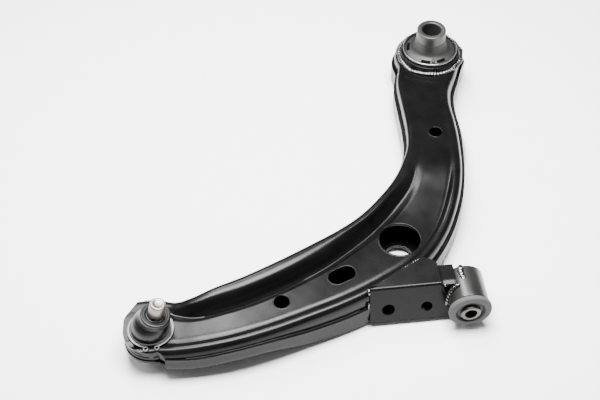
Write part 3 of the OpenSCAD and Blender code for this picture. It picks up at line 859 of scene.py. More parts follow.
    def nose_tool(self) -> tuple:
        """A C-shaped block that trims both pressings to the nose outline around the ball joint.

        The outline is a straight side, an arc round the ball and a short shoulder. Its match is the same
        outline drawn out from a point behind the ball.

        Returns:
            (points, quads) for make_mesh.
        """
        (bx, by), n = Spot.BALL.plan(), self.nose
        q = np.radians(np.linspace(282, 172, 40))
        arc = np.column_stack([n * np.cos(q), n * np.sin(q)])
        shoulder = [(-26.9, 14.8), (-24.5, 20), (-11.5, 37.6), (-8, 39.4), (14, 60)]
        edge = np.vstack([[(14, -60), (12, -31.5)], arc, shoulder]) + (bx, by)
        middle = np.array([bx + 6.0, by])
        far = middle + (edge - middle) * 3.2
        corners = ((edge, -60), (far, -60), (far, 80), (edge, 80))
        rows = [np.column_stack([xy, np.full(len(xy), z)]) for xy, z in corners]
        p = np.stack(rows, axis=1)
        quads = grid_faces(len(edge), 4, False, True)
        base = (len(edge) - 1) * 4
        caps = np.array([[0, 1, 2, 3], [base + 3, base + 2, base + 1, base]])
        return p.reshape(-1, 3) * MM, np.vstack([quads, caps])

    def hole_lip(self, outline: np.ndarray, top: np.ndarray, radius: float = 1.25) -> tuple:
        """The rounded lip of a pressed hole: a round section carried along its edge, on the surface.

        Args:
            outline: (n, 2) edge of the hole.
            top: (m, 3) points of the surface around it.
            radius: radius of the lip.
        Returns:
            (points, quads) for make_mesh.
        """
        middle = outline.mean(axis=0)
        out = (outline - middle) / np.linalg.norm(outline - middle, axis=1)[:, None]
        xy = outline + out * (radius - 0.25)
        gap = np.linalg.norm(top[None, :, :2] - xy[:, None], axis=-1)
        near = np.argsort(gap, axis=1)[:, :6]
        weight = 1 / (np.take_along_axis(gap, near, axis=1) + 0.3)
        z = (top[near][..., 2] * weight).sum(axis=1) / weight.sum(axis=1)
        z = (np.roll(z, 1) + z + np.roll(z, -1)) / 3 - radius + 0.12
        q = np.linspace(0, 2 * np.pi, 16, endpoint=False)[None, :, None]
        path = np.column_stack([xy, z])[:, None]
        side = np.column_stack([out, np.zeros(len(out))])[:, None]
        p = path + side * radius * np.cos(q) + np.array([0, 0, 1.0]) * radius * np.sin(q)
        return ring_part(p, np.zeros(3))

    def eye_half(self, outer: list, inner: list) -> tuple:
        """The back half of the rear eye: a sheet profile turned half round the bush, from +X to -X.

        Args:
            outer: (radius, height) corners of the outside.
            inner: matching corners of the inside.
        Returns:
            (points, quads) for make_mesh.
        """
        w = near_weights(len(outer), 40)
        q = np.linspace(0, np.pi, 90)[:, None]
        grids = []
        for corners in (outer, inner):
            line = w @ np.array(corners, float)
            r, z = line[None, :, 0], line[None, :, 1]
            x, y = Spot.REAR.plan()
            grids.append(np.stack([x + r * np.cos(q), y - 0.02 + r * np.sin(q), z + 0 * q], axis=-1))
        return sheet_part(*grids)

    def joint_bores(self, low: float) -> list:
        """Closed bars that open a pressing for the rear collar and for the ball joint housing.

        Args:
            low: height of the bars' foot, in millimetres.
        Returns:
            List of (points, quads) to cut with.
        """
        places = ((Spot.REAR, self.collar), (Spot.BALL, self.housing))
        return [prism(circle(*spot.plan(), r, 128), low, 60) for spot, r in places]

    def build_upper(self) -> bpy.types.Object:
        """Makes the upper pressing: swept top, back half of the eye, holes and their lips.

        Returns:
            The pressing.
        """
        lines = [self.lines(p, self.outer_samples) for p in self.upper_points()]
        outer, inner = (self.details(self.placed(line)) for line in lines)
        obj = make_mesh("upper_pressing", [sheet_part(outer, inner)])
        cuts = [(n, circle(x, y, r)) for n, x, y, r in self.holes]
        cuts.append(("long", slot_outline(*self.long_hole)))
        tools = [prism(o, -4 if n == "elbow" else 0, 60) for n, o in cuts]
        cut(obj, tools + [self.nose_tool()] + self.joint_bores(-40))
        zr, s, e, t = self.eye_top, float(self.seam[-1]), self.eye, self.sheet
        half = self.eye_half(
            [(self.collar, zr - 0.9), (e - 6, zr - 0.55), (e - 3.4, zr - 0.5), (e - 0.7, zr - 2.6),
             (e, zr - 6), (e, (s + zr - 7) / 2), (e, s)],
            [(self.collar, zr - 3.6), (e - 6, zr - 3.5), (e - 4.6, zr - 3.5), (e - 3.6, zr - 5.5),
             (e - t, zr - 7.5), (e - t, (s + zr - 8) / 2), (e - t, s)])
        top = outer.reshape(-1, 3)
        lips = [self.hole_lip(o, top, 1.5 if n == "elbow" else 1.2) for n, o in cuts]
        extra = make_mesh("upper_extra", [half] + lips)
        return joined(obj, extra)

    def build_lower(self) -> bpy.types.Object:
        """Makes the lower pressing: a swept pan, the back half of its eye and the hole under the elbow.

        Returns:
            The pressing.
        """
        outer, inner = (self.placed(self.lines(p, 64)) for p in self.lower_points())
        obj = make_mesh("lower_pressing", [sheet_part(outer, inner)])
        under = circle(*self.under_hole)
        cut(obj, [self.nose_tool(), prism(under, -60, 0)] + self.joint_bores(-60))
        zb, s, e, t = self.eye_low, float(self.seam[-1]) + self.lap, self.eye + self.step, self.sheet
        half = self.eye_half(
            [(self.collar, zb), (e - 6, zb), (e - 3.6, zb + 0.2), (e - 0.8, zb + 1.6), (e, zb + 5),
             (e, (s + zb + 6) / 2), (e, s)],
            [(self.collar, zb + t), (e - 8, zb + t), (e - t - 3, zb + t + 0.2), (e - t - 0.8, zb + 4.6),
             (e - t, zb + 7), (e - t, (s + zb + 7) / 2), (e - t, s)])
        lip = self.hole_lip(under, inner.reshape(-1, 3), 1.2)
        return joined(obj, make_mesh("lower_extra", [half, lip]))

    def build_beads(self) -> list:
        """Makes the two seam beads, which lie on the lower pressing's edge along both sides.

        Returns:
            The bead inside the bend, and the one outside it in its two runs.
        """
        z = self.seam + self.lap + 0.5
        n = self.per_span
        span = slice(2 * n + 6, 17 * n)
        back = self.placed(np.stack([self.r[Col.HALF] + 0.7, z], axis=-1)[:, None])[span, 0]
        wall = self.front_wall(z) - 0.7
        front = self.placed(np.stack([wall, z], axis=-1)[:, None])[:, 0]
        out = [make_mesh("seam_bead_inner", [bead_part(resampled(back, 0.9), 1.1, 1.0, 0.4)])]
        runs = [front[2 * n + 6:7 * n + 4], front[int(9.7 * n):17 * n]]
        out.append(make_mesh("seam_bead_outer", [bead_part(resampled(p, 0.9), 1.1, 1.0, 1.9) for p in runs]))
        return out

    def build(self) -> None:
        """Builds and dresses the pressings and their beads."""
        dress(self.build_upper(), COAT, "upper_shell", "arm", "upper_shell")
        dress(self.build_lower(), COAT, "lower_shell", "arm", "lower_shell")
        inner, outer = self.build_beads()
        dress(inner, SEAM_COAT, "weld", "arm", "seam_weld_inner")
        dress(outer, SEAM_COAT, "weld", "arm", "seam_weld_outer")


def resampled(path: np.ndarray, step: float) -> np.ndarray:
    """Spaces points evenly along a path.

    Args:
        path: (n, 3) points.
        step: distance between the new points.
    Returns:
        (m, 3) points.
    """
    s = np.concatenate([[0], np.cumsum(np.linalg.norm(np.diff(path, axis=0), axis=1))])
    t = np.linspace(0, s[-1], max(8, int(s[-1] / step)))
    return np.column_stack([np.interp(t, s, path[:, k]) for k in range(3)])


def joined(obj: bpy.types.Object, extra: bpy.types.Object) -> bpy.types.Object:
    """Adds another object's mesh to an object and removes the other.

    Args:
        obj: the object that stays.
        extra: the object that is taken in.
    Returns:
        The object that stays.
    """
    bm = bmesh.new()
    bm.from_mesh(obj.data)
    bm.from_mesh(extra.data)
    bm.to_mesh(obj.data)
    bm.free()
    bpy.data.objects.remove(extra)
    finish_shading(obj.data, SHARP)
    return obj


# ---------------------------------------------------------------------------------------------
# Ball joint


@dataclass
class NoseJoint:
    """Ball joint at the nose: collar, housing, cap, liner, snap ring, boot, neck ring and stud."""

    housing: float = 21.9
    nose: float = 28.0
    ball: float = 12.5
    stud: float = 7.9
    length: float = 49.5
    lean: float = 13.0
    boot: float = 19.6
    height: float = 32.0

    def collar(self) -> bpy.types.Object:
        """Spacer ring between the pressings, stepped under the start of the channel.

        Returns:
            The piece.
        """
        at = np.array([*Spot.BALL.plan(), -5.7]) * MM
        r, n = self.housing + 0.1, self.nose
        outline = [(r, 0), (n - 1, 0), (n - 1, 4.4), (n - 1.7, 5.0), (n - 1.7, 5.8), (n - 1, 6.4),
                   (n - 1, 8.6), (n - 3.4, 11.6), (r, 11.6)]
        return make_mesh("nose_collar_ring", [turned_part(outline, at, 0.5, 144)])

    def shell(self) -> list:
        """Housing, cap and liner, turned round the ball.

        Returns:
            The three pieces.
        """
        at, r = Spot.BALL.metres(), self.housing
        housing = [(14.6, 7.9), (14.6, 9.8), (r - 0.6, 9.8), (r - 0.6, 9.1), (r - 1.6, 9.1), (r - 1.6, 7.25),
                   (r - 0.6, 7.25), (r - 0.6, 6.6), (r, 6), (r, -19), (r - 1.5, -21), (r - 4.5, -21),
                   (r - 4.5, -19.4), (r - 2.9, -19.4), (r - 2.9, -16.2), (16.5, -16.2), (16.5, 7.9)]
        cap = [(0, -16.3), (r - 3, -16.3), (r - 3, -19.3), (r - 6, -19.3), (r - 8, -21.2), (6.5, -21.4),
               (5, -20.6), (0, -20.6)]
        liner = [(11.9, 4.4), (15.0, 7.8), (16.4, 7.8), (16.4, -16), (8.0, -16), (8.0, -9.9), (10.6, -6.9),
                 (12.4, -2.4), (12.6, 1.2)]
        return [make_mesh("housing_turned", [turned_part(housing, at, 0.35, 144)]),
                make_mesh("housing_cap_pressed", [turned_part(cap, at, 0.7, 128, closed=False)]),
                make_mesh("ball_liner", [turned_part(liner, at, 0.4, 96)])]

    def ring(self) -> bpy.types.Object:
        """Snap ring: a flat rounded section carried round to two eared ends at the front.

        Returns:
            The piece.
        """
        r, z = self.housing, 8.15
        q = np.radians(np.linspace(-90 + 14, 270 - 14, 150))
        section = rounded([(r - 1.5, -0.8), (r + 1.9, -0.8), (r + 1.9, 0.8), (r - 1.5, 0.8)], 0.45)
        rr, zz = section[None, :, 0], section[None, :, 1]
        p = np.stack([rr * np.cos(q[:, None]), rr * np.sin(q[:, None]), z + zz + 0 * q[:, None]], axis=-1)
        k = len(section)
        j = np.arange(1, k // 2)
        cap = np.stack([j - 1, j, (k - 1) - j, k - j], axis=-1) % k
        quads = np.vstack([grid_faces(len(q), k, False, True), cap, cap[:, ::-1] + (len(q) - 1) * k])
        at = Spot.BALL.metres()
        parts = [(p.reshape(-1, 3) * MM + at, quads)]
        for x in (-5.5, 5.5):
            ear = [(1.25, -0.8), (2.85, -0.8), (2.85, 0.8), (1.25, 0.8)]
            parts.append(turned_part(ear, at + np.array([x, -r - 2.1, z]) * MM, 0.4, 40))
        return make_mesh("snap_ring_eared", parts)

    def boot_rings(self) -> np.ndarray:
        """Control rings round the boot's section: up the outside, over the lip and down the inside.

        Returns:
            (n, 3) array of radius, height and share of the lean.
        """
        b, h = self.boot, self.height
        return np.array([
            (b - 3, 10.2, 0), (b - 1.2, 10.05, 0), (b - 0.4, 10.3, 0), (b - 0.2, 12, 0), (b, 14.5, 0.1),
            (b - 0.3, 17.5, 0.22), (b - 1.3, 20.6, 0.4), (b - 2.5, 23.2, 0.6), (b - 3.8, 25.2, 0.75),
            (15.75, 26.6, 0.9), (15.35, h - 4.6, 0.95), (15.6, h - 3.6, 0.98), (15.65, h - 2, 1),
            (15.2, h - 0.5, 1), (14.1, h, 1), (12.6, h - 0.25, 1), (11, h - 0.1, 1), (10.2, h - 0.4, 1),
            (9.5, h - 1.4, 1), (8.5, h - 2.4, 1), (8.45, h - 4.4, 1), (9.6, h - 5.4, 0.98),
            (11.5, h - 5.9, 0.95), (15.6, 23.3, 0.75), (b - 2.3, 19.8, 0.5), (b - 1.7, 16, 0.25),
            (b - 1.9, 12.5, 0.05)])

    def boot_halves(self) -> list:
        """The rubber boot in two closed halves: rings carried up from upright to the stud's lean.

        Returns:
            The lower half and the upper half.
        """
        rings = self.boot_rings()
        dense = near_weights(len(rings) + 2, 150) @ np.vstack([rings, rings[:2]])
        line = np.roll(dense[:-2], -int(np.argmin(dense[:, 1])), axis=0)
        q = np.linspace(0, 2 * np.pi, 128, endpoint=False)[:, None]
        split, overlap = 21.0, 0.6
        lower = line[line[:, 1] < split + overlap]
        high = np.flatnonzero(line[:, 1] > split - overlap)
        upper = line[high]
        breaks = np.flatnonzero(np.diff(high) > 1)
        if len(breaks):
            upper = np.roll(upper, -(breaks[0] + 1), axis=0)
        out = []
        for name, part in (("dust_boot_lower", lower), ("dust_boot_upper", upper)):
            r, z, s = part[None, :, 0], part[None, :, 1], part[None, :, 2] * np.radians(self.lean)
            x, y = r * np.cos(q), r * np.sin(q)
            p = np.stack([x * np.cos(s) + z * np.sin(s), y, z * np.cos(s) - x * np.sin(s)], axis=-1)
            out.append(make_mesh(name, [ring_part(p, Spot.BALL.metres())], 55))
        return out

    def neck_ring(self) -> bpy.types.Object:
        """Spring wire round the boot's neck.

        Returns:
            The piece.
        """
        q = np.linspace(0, 2 * np.pi, 18, endpoint=False)
        line = np.column_stack([8.98 + 0.5 * np.cos(q), self.height - 0.9 + 0.5 * np.sin(q)])
        p = leaned(turned_points(line, 96), self.lean)
        return make_mesh("boot_neck_wire", [ring_part(p, Spot.BALL.metres())])

    def pin(self) -> bpy.types.Object:
        """Ball and stud in one turned profile, with a shallow dish in the end face.

        Returns:
            The piece.
        """
        r, top, b = self.stud, self.length, self.ball
        q = np.radians(np.linspace(-64, 54, 40))
        ball = np.column_stack([b * np.cos(q), b * np.sin(q)])
        line = np.vstack([[[0, b * np.sin(q[0])]], ball, [
            (7.0, 11.2), (7.0, 15), (r - 0.5, 19.8), (r - 0.15, 22), (r - 0.15, 32.6), (r, 33.1),
            (r, top - 1.5), (r - 0.35, top - 0.6), (r - 1.1, top - 0.1), (r - 1.7, top), (5.3, top - 0.05),
            (4.7, top - 0.35), (4.1, top - 0.8), (2.0, top - 1.0), (0, top - 1.0)]])
        p = leaned(turned_points(line, 128), self.lean) * MM + Spot.BALL.metres()
        return make_mesh("ball_stud_turned", [(p, grid_faces(128, len(line), True, False))])

    def build(self) -> None:
        """Builds and dresses every piece of the joint."""
        dress(self.collar(), PRESSED_COAT, "frame_parts", "arm", "nose_collar")
        housing, cap, liner = self.shell()
        dress(housing, HOUSING_COAT, "housing", "arm", "joint_housing")
        dress(cap, CAP_STEEL, "cap", "arm", "housing_cap")
        dress(liner, LINER, "seat", "arm", "ball_seat")
        dress(self.ring(), SPRING, "snap_ring", "arm", "snap_ring")
        lower, upper = self.boot_halves()
        dress(lower, BOOT_RUBBER, "boot", "")
        dress(upper, BOOT_RUBBER, "boot", "", "dust_boot")
        ball = Spot.BALL.metres()
        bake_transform(lower)
        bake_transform(upper)
        dress(self.neck_ring(), SPRING, "ring", "stud_tilt", "boot_neck_ring")
        dress(self.pin(), ZINC, "stud", "stud", "ball_stud")


# ---------------------------------------------------------------------------------------------
# Bracket and front bush


@dataclass
class BushBracket:
    """Folded bracket that carries the front bush tube, with its beads."""

    plate: float = 4.0
    top: float = 20.2
    low: float = -22.0
    lean: float = 17.0
    bend: float = 5.0
    tube: float = 21.0
    wall: float = 2.4
    length: float = 39.0

    def fold(self, back: np.ndarray, down: np.ndarray, samples: int) -> tuple:
        """Outside and inside lines of the folded plate, back edge to wall foot, for every row.

        Args:
            back: (n,) y of the top plate's back edge.
            down: (n,) length of the wall.
            samples: points along the line.
        Returns:
            Two (n, samples, 2) arrays of y and z.
        """
        a = np.radians(self.lean)
        one = np.ones_like(back)
        out = []
        for t in (0.0, self.plate):
            z = self.top - t
            y0 = 1.0 + t / np.cos(a)
            foot_y, foot_z = y0 - down * np.sin(a), z - down * np.cos(a)
            bend = self.bend if t == 0 else 1.6
            below_y, below_z = y0 - bend * np.sin(a), z - bend * np.cos(a)
            pts = [(back, z * one), ((back + y0) / 2, z * one), ((y0 + bend) * one, z * one),
                   (y0 * one, z * one), (below_y * one, below_z * one),
                   ((below_y + foot_y) / 2, (below_z + foot_z) / 2), (foot_y, foot_z)]
            p = np.stack([np.stack(q, axis=-1) for q in pts], axis=1)
            out.append(np.einsum("sk,rkc->rsc", near_weights(len(pts), samples), p))
        return tuple(out)

    def plates(self) -> bpy.types.Object:
        """Top plate with folded wall, tongue to the tube, lower corner of the wall and bottom plate.

        Returns:
            The bracket.
        """
        x = np.linspace(-101, -27, 60)
        back = np.interp(x, [-101, -84, -64, -40, -31, -27], [2.2, 12, 24.5, 37.5, 33, 28])
        grids = [np.concatenate([np.broadcast_to(x[:, None, None], g.shape[:2] + (1,)), g], axis=-1)
                 for g in self.fold(back, np.full_like(x, 42.0), 60)]
        parts = [sheet_part(*grids)]
        xt = np.linspace(-34, -2.2, 30)[:, None]
        yt = np.linspace(0, 1, 16)[None, :]
        drop = 1.9 * ease((xt + 33) / 9) + 0.9 * ease((xt + 14) / 12)
        y = 1.6 + yt * (26.0 - 1.6 - 2.5 * ease((xt + 12) / 10)) + 0 * xt
        curl = 1.2 * ease((4.5 - (y - 1.6)) / 4.5)
        parts.append(sheet_part(*[np.stack([xt + 0 * yt, y, self.top - 0.05 - t - drop - curl], axis=-1)
                                  for t in (0.0, self.plate)]))
        a = np.radians(self.lean)
        xw = np.linspace(-30, -3.2, 30)[:, None]
        first = 9.0 + 8.5 * ease((xw + 29) / 7)
        d = first + yt * (42 - first)
        parts.append(sheet_part(*[np.stack([xw + 0 * yt, 1 + t - d * np.sin(a),
                                            self.top - t * 0.3 - d * np.cos(a)], axis=-1)
                                  for t in (0.02, self.plate)]))
        xb = np.linspace(-102, -3.5, 40)[:, None]
        front, rear = -8.6, np.interp(xb, [-103, -72, -44, -30, -3], [-2, 12, 30, 34, 18])
        yb = front + yt * (rear - front)
        parts.append(sheet_part(*[np.stack([xb + 0 * yt, yb, self.low + t + 0 * xb * yt], axis=-1)
                                  for t in (0.0, self.plate)]))
        pins = [self.wall_pin(hx, r) for hx, r in ((-82.0, 6.7), (-42.0, 6.0))]
        whole = None
        for k, part in enumerate(parts):
            plate = make_mesh(f"bracket_plate_{k}", [part])
            cut(plate, [self.bore(self.tube + 0.05, -60, 60)] + (pins if k == 0 else []))
            whole = joined(whole, plate) if whole else plate
        whole.name = "bracket_plates"
        return whole

    def bore(self, r: float, y0: float, y1: float) -> tuple:
        """Returns a closed bar of radius r along the bush bore from y0 to y1, to cut with."""
        p, quads = prism(circle(0, 0, r, 120), y0, y1)
        return along_y(p), quads

    def wall_pin(self, x: float, r: float) -> tuple:
        """A closed bar square to the leaning wall, to cut a hole with.

        Args:
            x: its place along the arm, in millimetres.
            r: its radius.
        Returns:
            (points, quads) to cut with.
        """
        p, quads = prism(circle(0, 0, r, 64), -12, 14)
        a = np.radians(self.lean)
        n = np.array([0.0, -np.cos(a), np.sin(a)])
        u = np.array([0.0, np.sin(a), np.cos(a)])
        at = np.array([x, -7.0, -6.0]) * MM
        return at + p[..., :1] * np.array([1.0, 0, 0]) + p[..., 1:2] * u + p[..., 2:] * n, quads

    def bush_tube(self) -> bpy.types.Object:
        """Tube that holds the front bush, with chamfered ends.

        Returns:
            The piece.
        """
        a, b, n = self.tube, self.tube - self.wall, self.length
        y = -n / 2 + 1.5
        line = [(b, y), (a - 0.7, y), (a, y + 0.7), (a, y + n - 0.7), (a - 0.7, y + n), (b, y + n)]
        return make_mesh("bush_tube_drawn", [turned_part(line, np.zeros(3), 0.4, 144, flat=True)])

    def beads(self) -> list:
        """Beads where the top plate meets the arm, blobs at its corners, and the bead on the tube.

        Returns:
            The bracket's beads and the tube's beads.
        """
        z = 16.6
        top = np.array([(-99, 3.4, z), (-84, 12.4, z), (-64, 25, z + 0.2), (-48, 34.2, z + 0.4),
                        (-40, 37.6, z + 1.4)])
        blob = np.array([(-101.6, 4.5, 17.6), (-102, 2.0, 18.6), (-102, -0.6, 18.2), (-102, -1.8, 14.5)])
        foot = np.array([(-102.4, -4.5, 5.5), (-102.6, -5.4, 1.5), (-102.8, -6.0, -3.0)])
        edge, corner = through_weights(5, 30) @ top, through_weights(4, 12) @ blob
        plate = [bead_part(resampled(edge, 0.8), 2.1, 1.7, 0.9),
                 bead_part(resampled(corner, 0.5), 1.5, 1.6, 0.2),
                 bead_part(resampled(foot, 0.5), 1.2, 1.5, 2.2)]
        t = np.linspace(0, 1, 40)
        land = np.column_stack([-2.6 - 1.6 * np.sin(3 * t), 3.2 + 20.0 * t, 20.3 - 0.2 * t])
        q = np.radians(np.linspace(112, 190, 40))
        slide = -2.5 - 7.0 * ease((np.degrees(q) - 112) / 78)
        side = np.column_stack([22.0 * np.cos(q), slide, 22.0 * np.sin(q)])
        spot = np.array([(-24.5, 1.0, 17.8), (-22.6, 0.4, 16.9), (-21.2, 0.6, 15.4)])
        tube = [bead_part(resampled(land, 0.6), 3.4, 1.9, 1.4, 3.4),
                bead_part(resampled(side, 0.6), 2.2, 2.2, 2.9, 3.4),
                bead_part(resampled(spot, 0.4), 1.7, 1.4, 0.5)]
        return [make_mesh("bracket_bead", plate), make_mesh("tube_bead", tube)]

    def build(self) -> None:
        """Builds and dresses the bracket, its tube and beads."""
        dress(self.plates(), PRESSED_COAT, "frame_parts", "arm", "bush_bracket")
        dress(self.bush_tube(), TUBE_COAT, "frame_parts", "arm", "bush_tube")
        bracket, tube = self.beads()
        dress(bracket, WELD_COAT, "weld", "arm", "bracket_weld")
        dress(tube, WELD_COAT, "weld", "arm", "tube_weld")


@dataclass
class FrontBush:
    """Horizontal bush in the bracket tube: shell, bonded rubber and inner sleeve."""

    shell: float = 18.55
    sleeve: float = 10.2
    bore: float = 6.25
    length: float = 53.0
    flange: float = 22.6
    tube_length: float = 39.0

    def front(self) -> float:
        """Returns the y of the shell's front end, in millimetres."""
        return -self.tube_length / 2 + 1

    @staticmethod
    def turned(name: str, line: list, radius: float, segments: int = 128) -> bpy.types.Object:
        """Turns a profile round the bore.

        Args:
            name: object name.
            line: (radius, y) corners in millimetres.
            radius: how much of each corner is rounded.
            segments: number of angles.
        Returns:
            The piece.
        """
        return make_mesh(name, [turned_part(line, np.zeros(3), radius, segments, flat=True)])

    def casing(self) -> bpy.types.Object:
        """Thin steel shell, pressed into the tube.

        Returns:
            The piece.
        """
        r, y = self.shell, self.front()
        end = y + self.tube_length + 1
        return self.turned("front_shell", [(r - 1.6, y), (r, y), (r, end), (r - 1.6, end)], 0.4)

    def rubber(self) -> bpy.types.Object:
        """Bonded rubber: a broad rounded flange in front, dished round the sleeve, and a body in the shell.

        Returns:
            The piece.
        """
        a, b, c = self.sleeve + 0.05, self.shell - 1.65, self.flange
        f, back = self.front() - 0.05, self.tube_length / 2 + 2
        line = [(a, f - 3.6), (a + 2.6, f - 3.0), (a + 4.6, f - 1.6), (a + 5.0, f - 5.4), (a + 5.8, f - 6.0),
                (c - 3.6, f - 6), (c - 1.4, f - 5.8), (c - 0.4, f - 4.8), (c, f - 1.8), (c - 1.0, f), (b, f),
                (b, back - 2), (b - 2.5, back + 1), (a + 2, back + 1), (a, back)]
        return self.turned("front_rubber", line, 0.6, 144)

    def inner_sleeve(self) -> bpy.types.Object:
        """Turned sleeve for the bolt, with chamfered ends.

        Returns:
            The piece.
        """
        a, b, h = self.bore, self.sleeve, self.length / 2
        line = [(a, -h + 0.5), (a + 0.5, -h), (b - 0.8, -h), (b, -h + 0.8), (b, h - 0.8), (b - 0.8, h),
                (a + 0.5, h), (a, h - 0.5)]
        return self.turned("front_sleeve_turned", line, 0.3)

    def build(self) -> None:
        """Builds and dresses the bush."""
        dress(self.casing(), SHELL_STEEL, "bush_shell", "arm", "front_bush_shell")
        dress(self.rubber(), BUSH_RUBBER, "bush_rubber", "arm", "front_bush_rubber")
        dress(self.inner_sleeve(), FRONT_SLEEVE, "bush_sleeve", "front_sleeve", "front_bush_sleeve")


@dataclass
class RearBush:
    """Upright bush at the far end: collar, weld, bright shell, slotted rubber and tall sleeve."""

    shell: float = 32.2
    sleeve: float = 17.4
    bore: float = 11.2
    top: float = 59.0
    bottom: float = -24.0
    rim: float = 31.0
    collar_wall: float = 2.6

    def collar(self) -> bpy.types.Object:
        """Welded collar with a rolled top edge and one split mark at the front.

        Returns:
            The piece.
        """
        a, b = self.shell + 0.05, self.shell + 0.35 + self.collar_wall
        line = [(a, -25), (b - 0.4, -25), (b, -24.6), (b, 25.8), (b - 0.7, 26.9), (a + 0.3, 27), (a, 26.6)]
        obj = make_mesh("rear_collar_rolled", [turned_part(line, Spot.REAR.metres(), 0.6, 160)])
        gap = prism(np.array([(24.4, 310), (25.4, 310), (25.4, 318.2), (24.4, 318.2)]), 22.4, 30)
        cut(obj, [gap])
        return obj

    def bead(self) -> bpy.types.Object:
        """Broad glossy bead round the collar, wider and rougher over its front.

        Returns:
            The piece.
        """
        q = np.linspace(0, 2 * np.pi, 520, endpoint=False)
        front = ease((np.cos(q + np.pi / 2 - 0.15) + 0.5) / 1.2)
        r = self.shell + 3.9 + 1.9 * front + 0.45 * np.sin(5 * q) * front + 0.3 * np.sin(13 * q + 1) * front
        z = 21.9 + 0.3 * np.sin(7 * q + 2) * front
        x, y = Spot.REAR.plan()
        path = np.column_stack([x + r * np.cos(q), y + r * np.sin(q), z])
        return make_mesh("rear_collar_bead", [bead_part(path, 3.4, 2.0, 1.2, 3.6, closed=True, around=24)])

    @staticmethod
    def slot_tool(low: float, high: float) -> tuple:
        """A closed curved bar between two radii and two angles, to cut a slot of the rubber.

        Args:
            low: angle where the slot starts, in degrees.
            high: angle where it ends.
        Returns:
            (points, quads) to cut with.
        """
        q = np.radians(np.linspace(low, high, 24))
        n = len(q)
        arcs = ((28.3, q), (24.6, q[::-1]))
        ring = np.vstack([np.column_stack([r * np.cos(s), r * np.sin(s)]) for r, s in arcs])
        levels = [np.column_stack([ring + Spot.REAR.plan(), np.full(2 * n, z)]) for z in (14.0, 60.0)]
        k = np.arange(2 * n)
        walls = np.stack([k, (k + 1) % (2 * n), (k + 1) % (2 * n) + 2 * n, k + 2 * n], axis=-1)
        j = np.arange(n - 1)
        cap = np.stack([j, 2 * n - 1 - j, 2 * n - 2 - j, j + 1], axis=-1)
        return np.concatenate(levels) * MM, np.vstack([walls, cap, cap[:, ::-1] + 2 * n])

    def rubber(self) -> bpy.types.Object:
        """Bonded rubber: a cone from the rim up to the sleeve with curved slots and a nub at the front.

        Returns:
            The piece.
        """
        a, b = self.sleeve + 0.05, self.shell - 2.05
        line = [(a, 45.2), (a + 0.3, 45.5), (a + 0.6, 44), (a + 1.0, 40), (a + 1.8, 36), (a + 3.4, 33),
                (a + 6.4, 30.9), (b - 2.6, 29.4), (b, 28.4), (b, -15), (b - 4, -15), (a + 6.4, -13),
                (a + 6.4, 25), (a + 4.6, 28.6), (a + 1.0, 31.4), (a, 34)]
        obj = make_mesh("rear_rubber_cone", [turned_part(line, Spot.REAR.metres(), 1.6, 160)])
        spans = ((-124, -99), (-82, -58), (-208, -178), (58, 122))
        cut(obj, [self.slot_tool(low, high) for low, high in spans])
        nub = np.array([(24.4, 328.6, 32.2), (24.4, 326.2, 31.6), (24.4, 323.6, 30.6), (24.4, 321.6, 29.2)])
        return joined(obj, make_mesh("rear_nub", [bead_part(resampled(nub, 0.25), 1.5, 1.3, 0.3, 40.0)]))

    def casing(self) -> bpy.types.Object:
        """Bright shell with a rolled rim.

        Returns:
            The piece.
        """
        r, rim = self.shell, self.rim
        line = [(r - 2, -19), (r, -19), (r, 28.0), (r + 0.5, 28.5), (r + 0.5, rim - 0.7), (r - 0.2, rim),
                (r - 1.7, rim), (r - 2, rim - 0.6)]
        return make_mesh("rear_shell_rim", [turned_part(line, Spot.REAR.metres(), 0.5, 160)])

    def inner_sleeve(self) -> bpy.types.Object:
        """Tall turned sleeve for the bolt, with rounded ends.

        Returns:
            The piece.
        """
        a, b, lo, hi = self.bore, self.sleeve, self.bottom, self.top
        line = [(a, lo + 0.6), (a + 0.6, lo), (b - 0.9, lo), (b, lo + 0.9), (b, hi - 1.2),
                (b - 0.5, hi - 0.3), (b - 1.4, hi), (a + 1.0, hi), (a, hi - 1.0)]
        return make_mesh("rear_sleeve_tall", [turned_part(line, Spot.REAR.metres(), 0.4, 144)])

    def build(self) -> None:
        """Builds and dresses the bush and its seat."""
        dress(self.collar(), PRESSED_COAT, "frame_parts", "arm", "rear_collar")
        dress(self.bead(), WELD_COAT, "weld", "arm", "rear_collar_weld")
        dress(self.casing(), RIM_STEEL, "rear_shell", "arm", "rear_bush_shell")
        cone = dress(self.rubber(), CONE_RUBBER, "bush_rubber", "", "rear_bush_rubber")
        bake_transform(cone)
        dress(self.inner_sleeve(), REAR_SLEEVE, "rear_sleeve", "rear_sleeve", "rear_bush_sleeve")


# ---------------------------------------------------------------------------------------------
# Studio


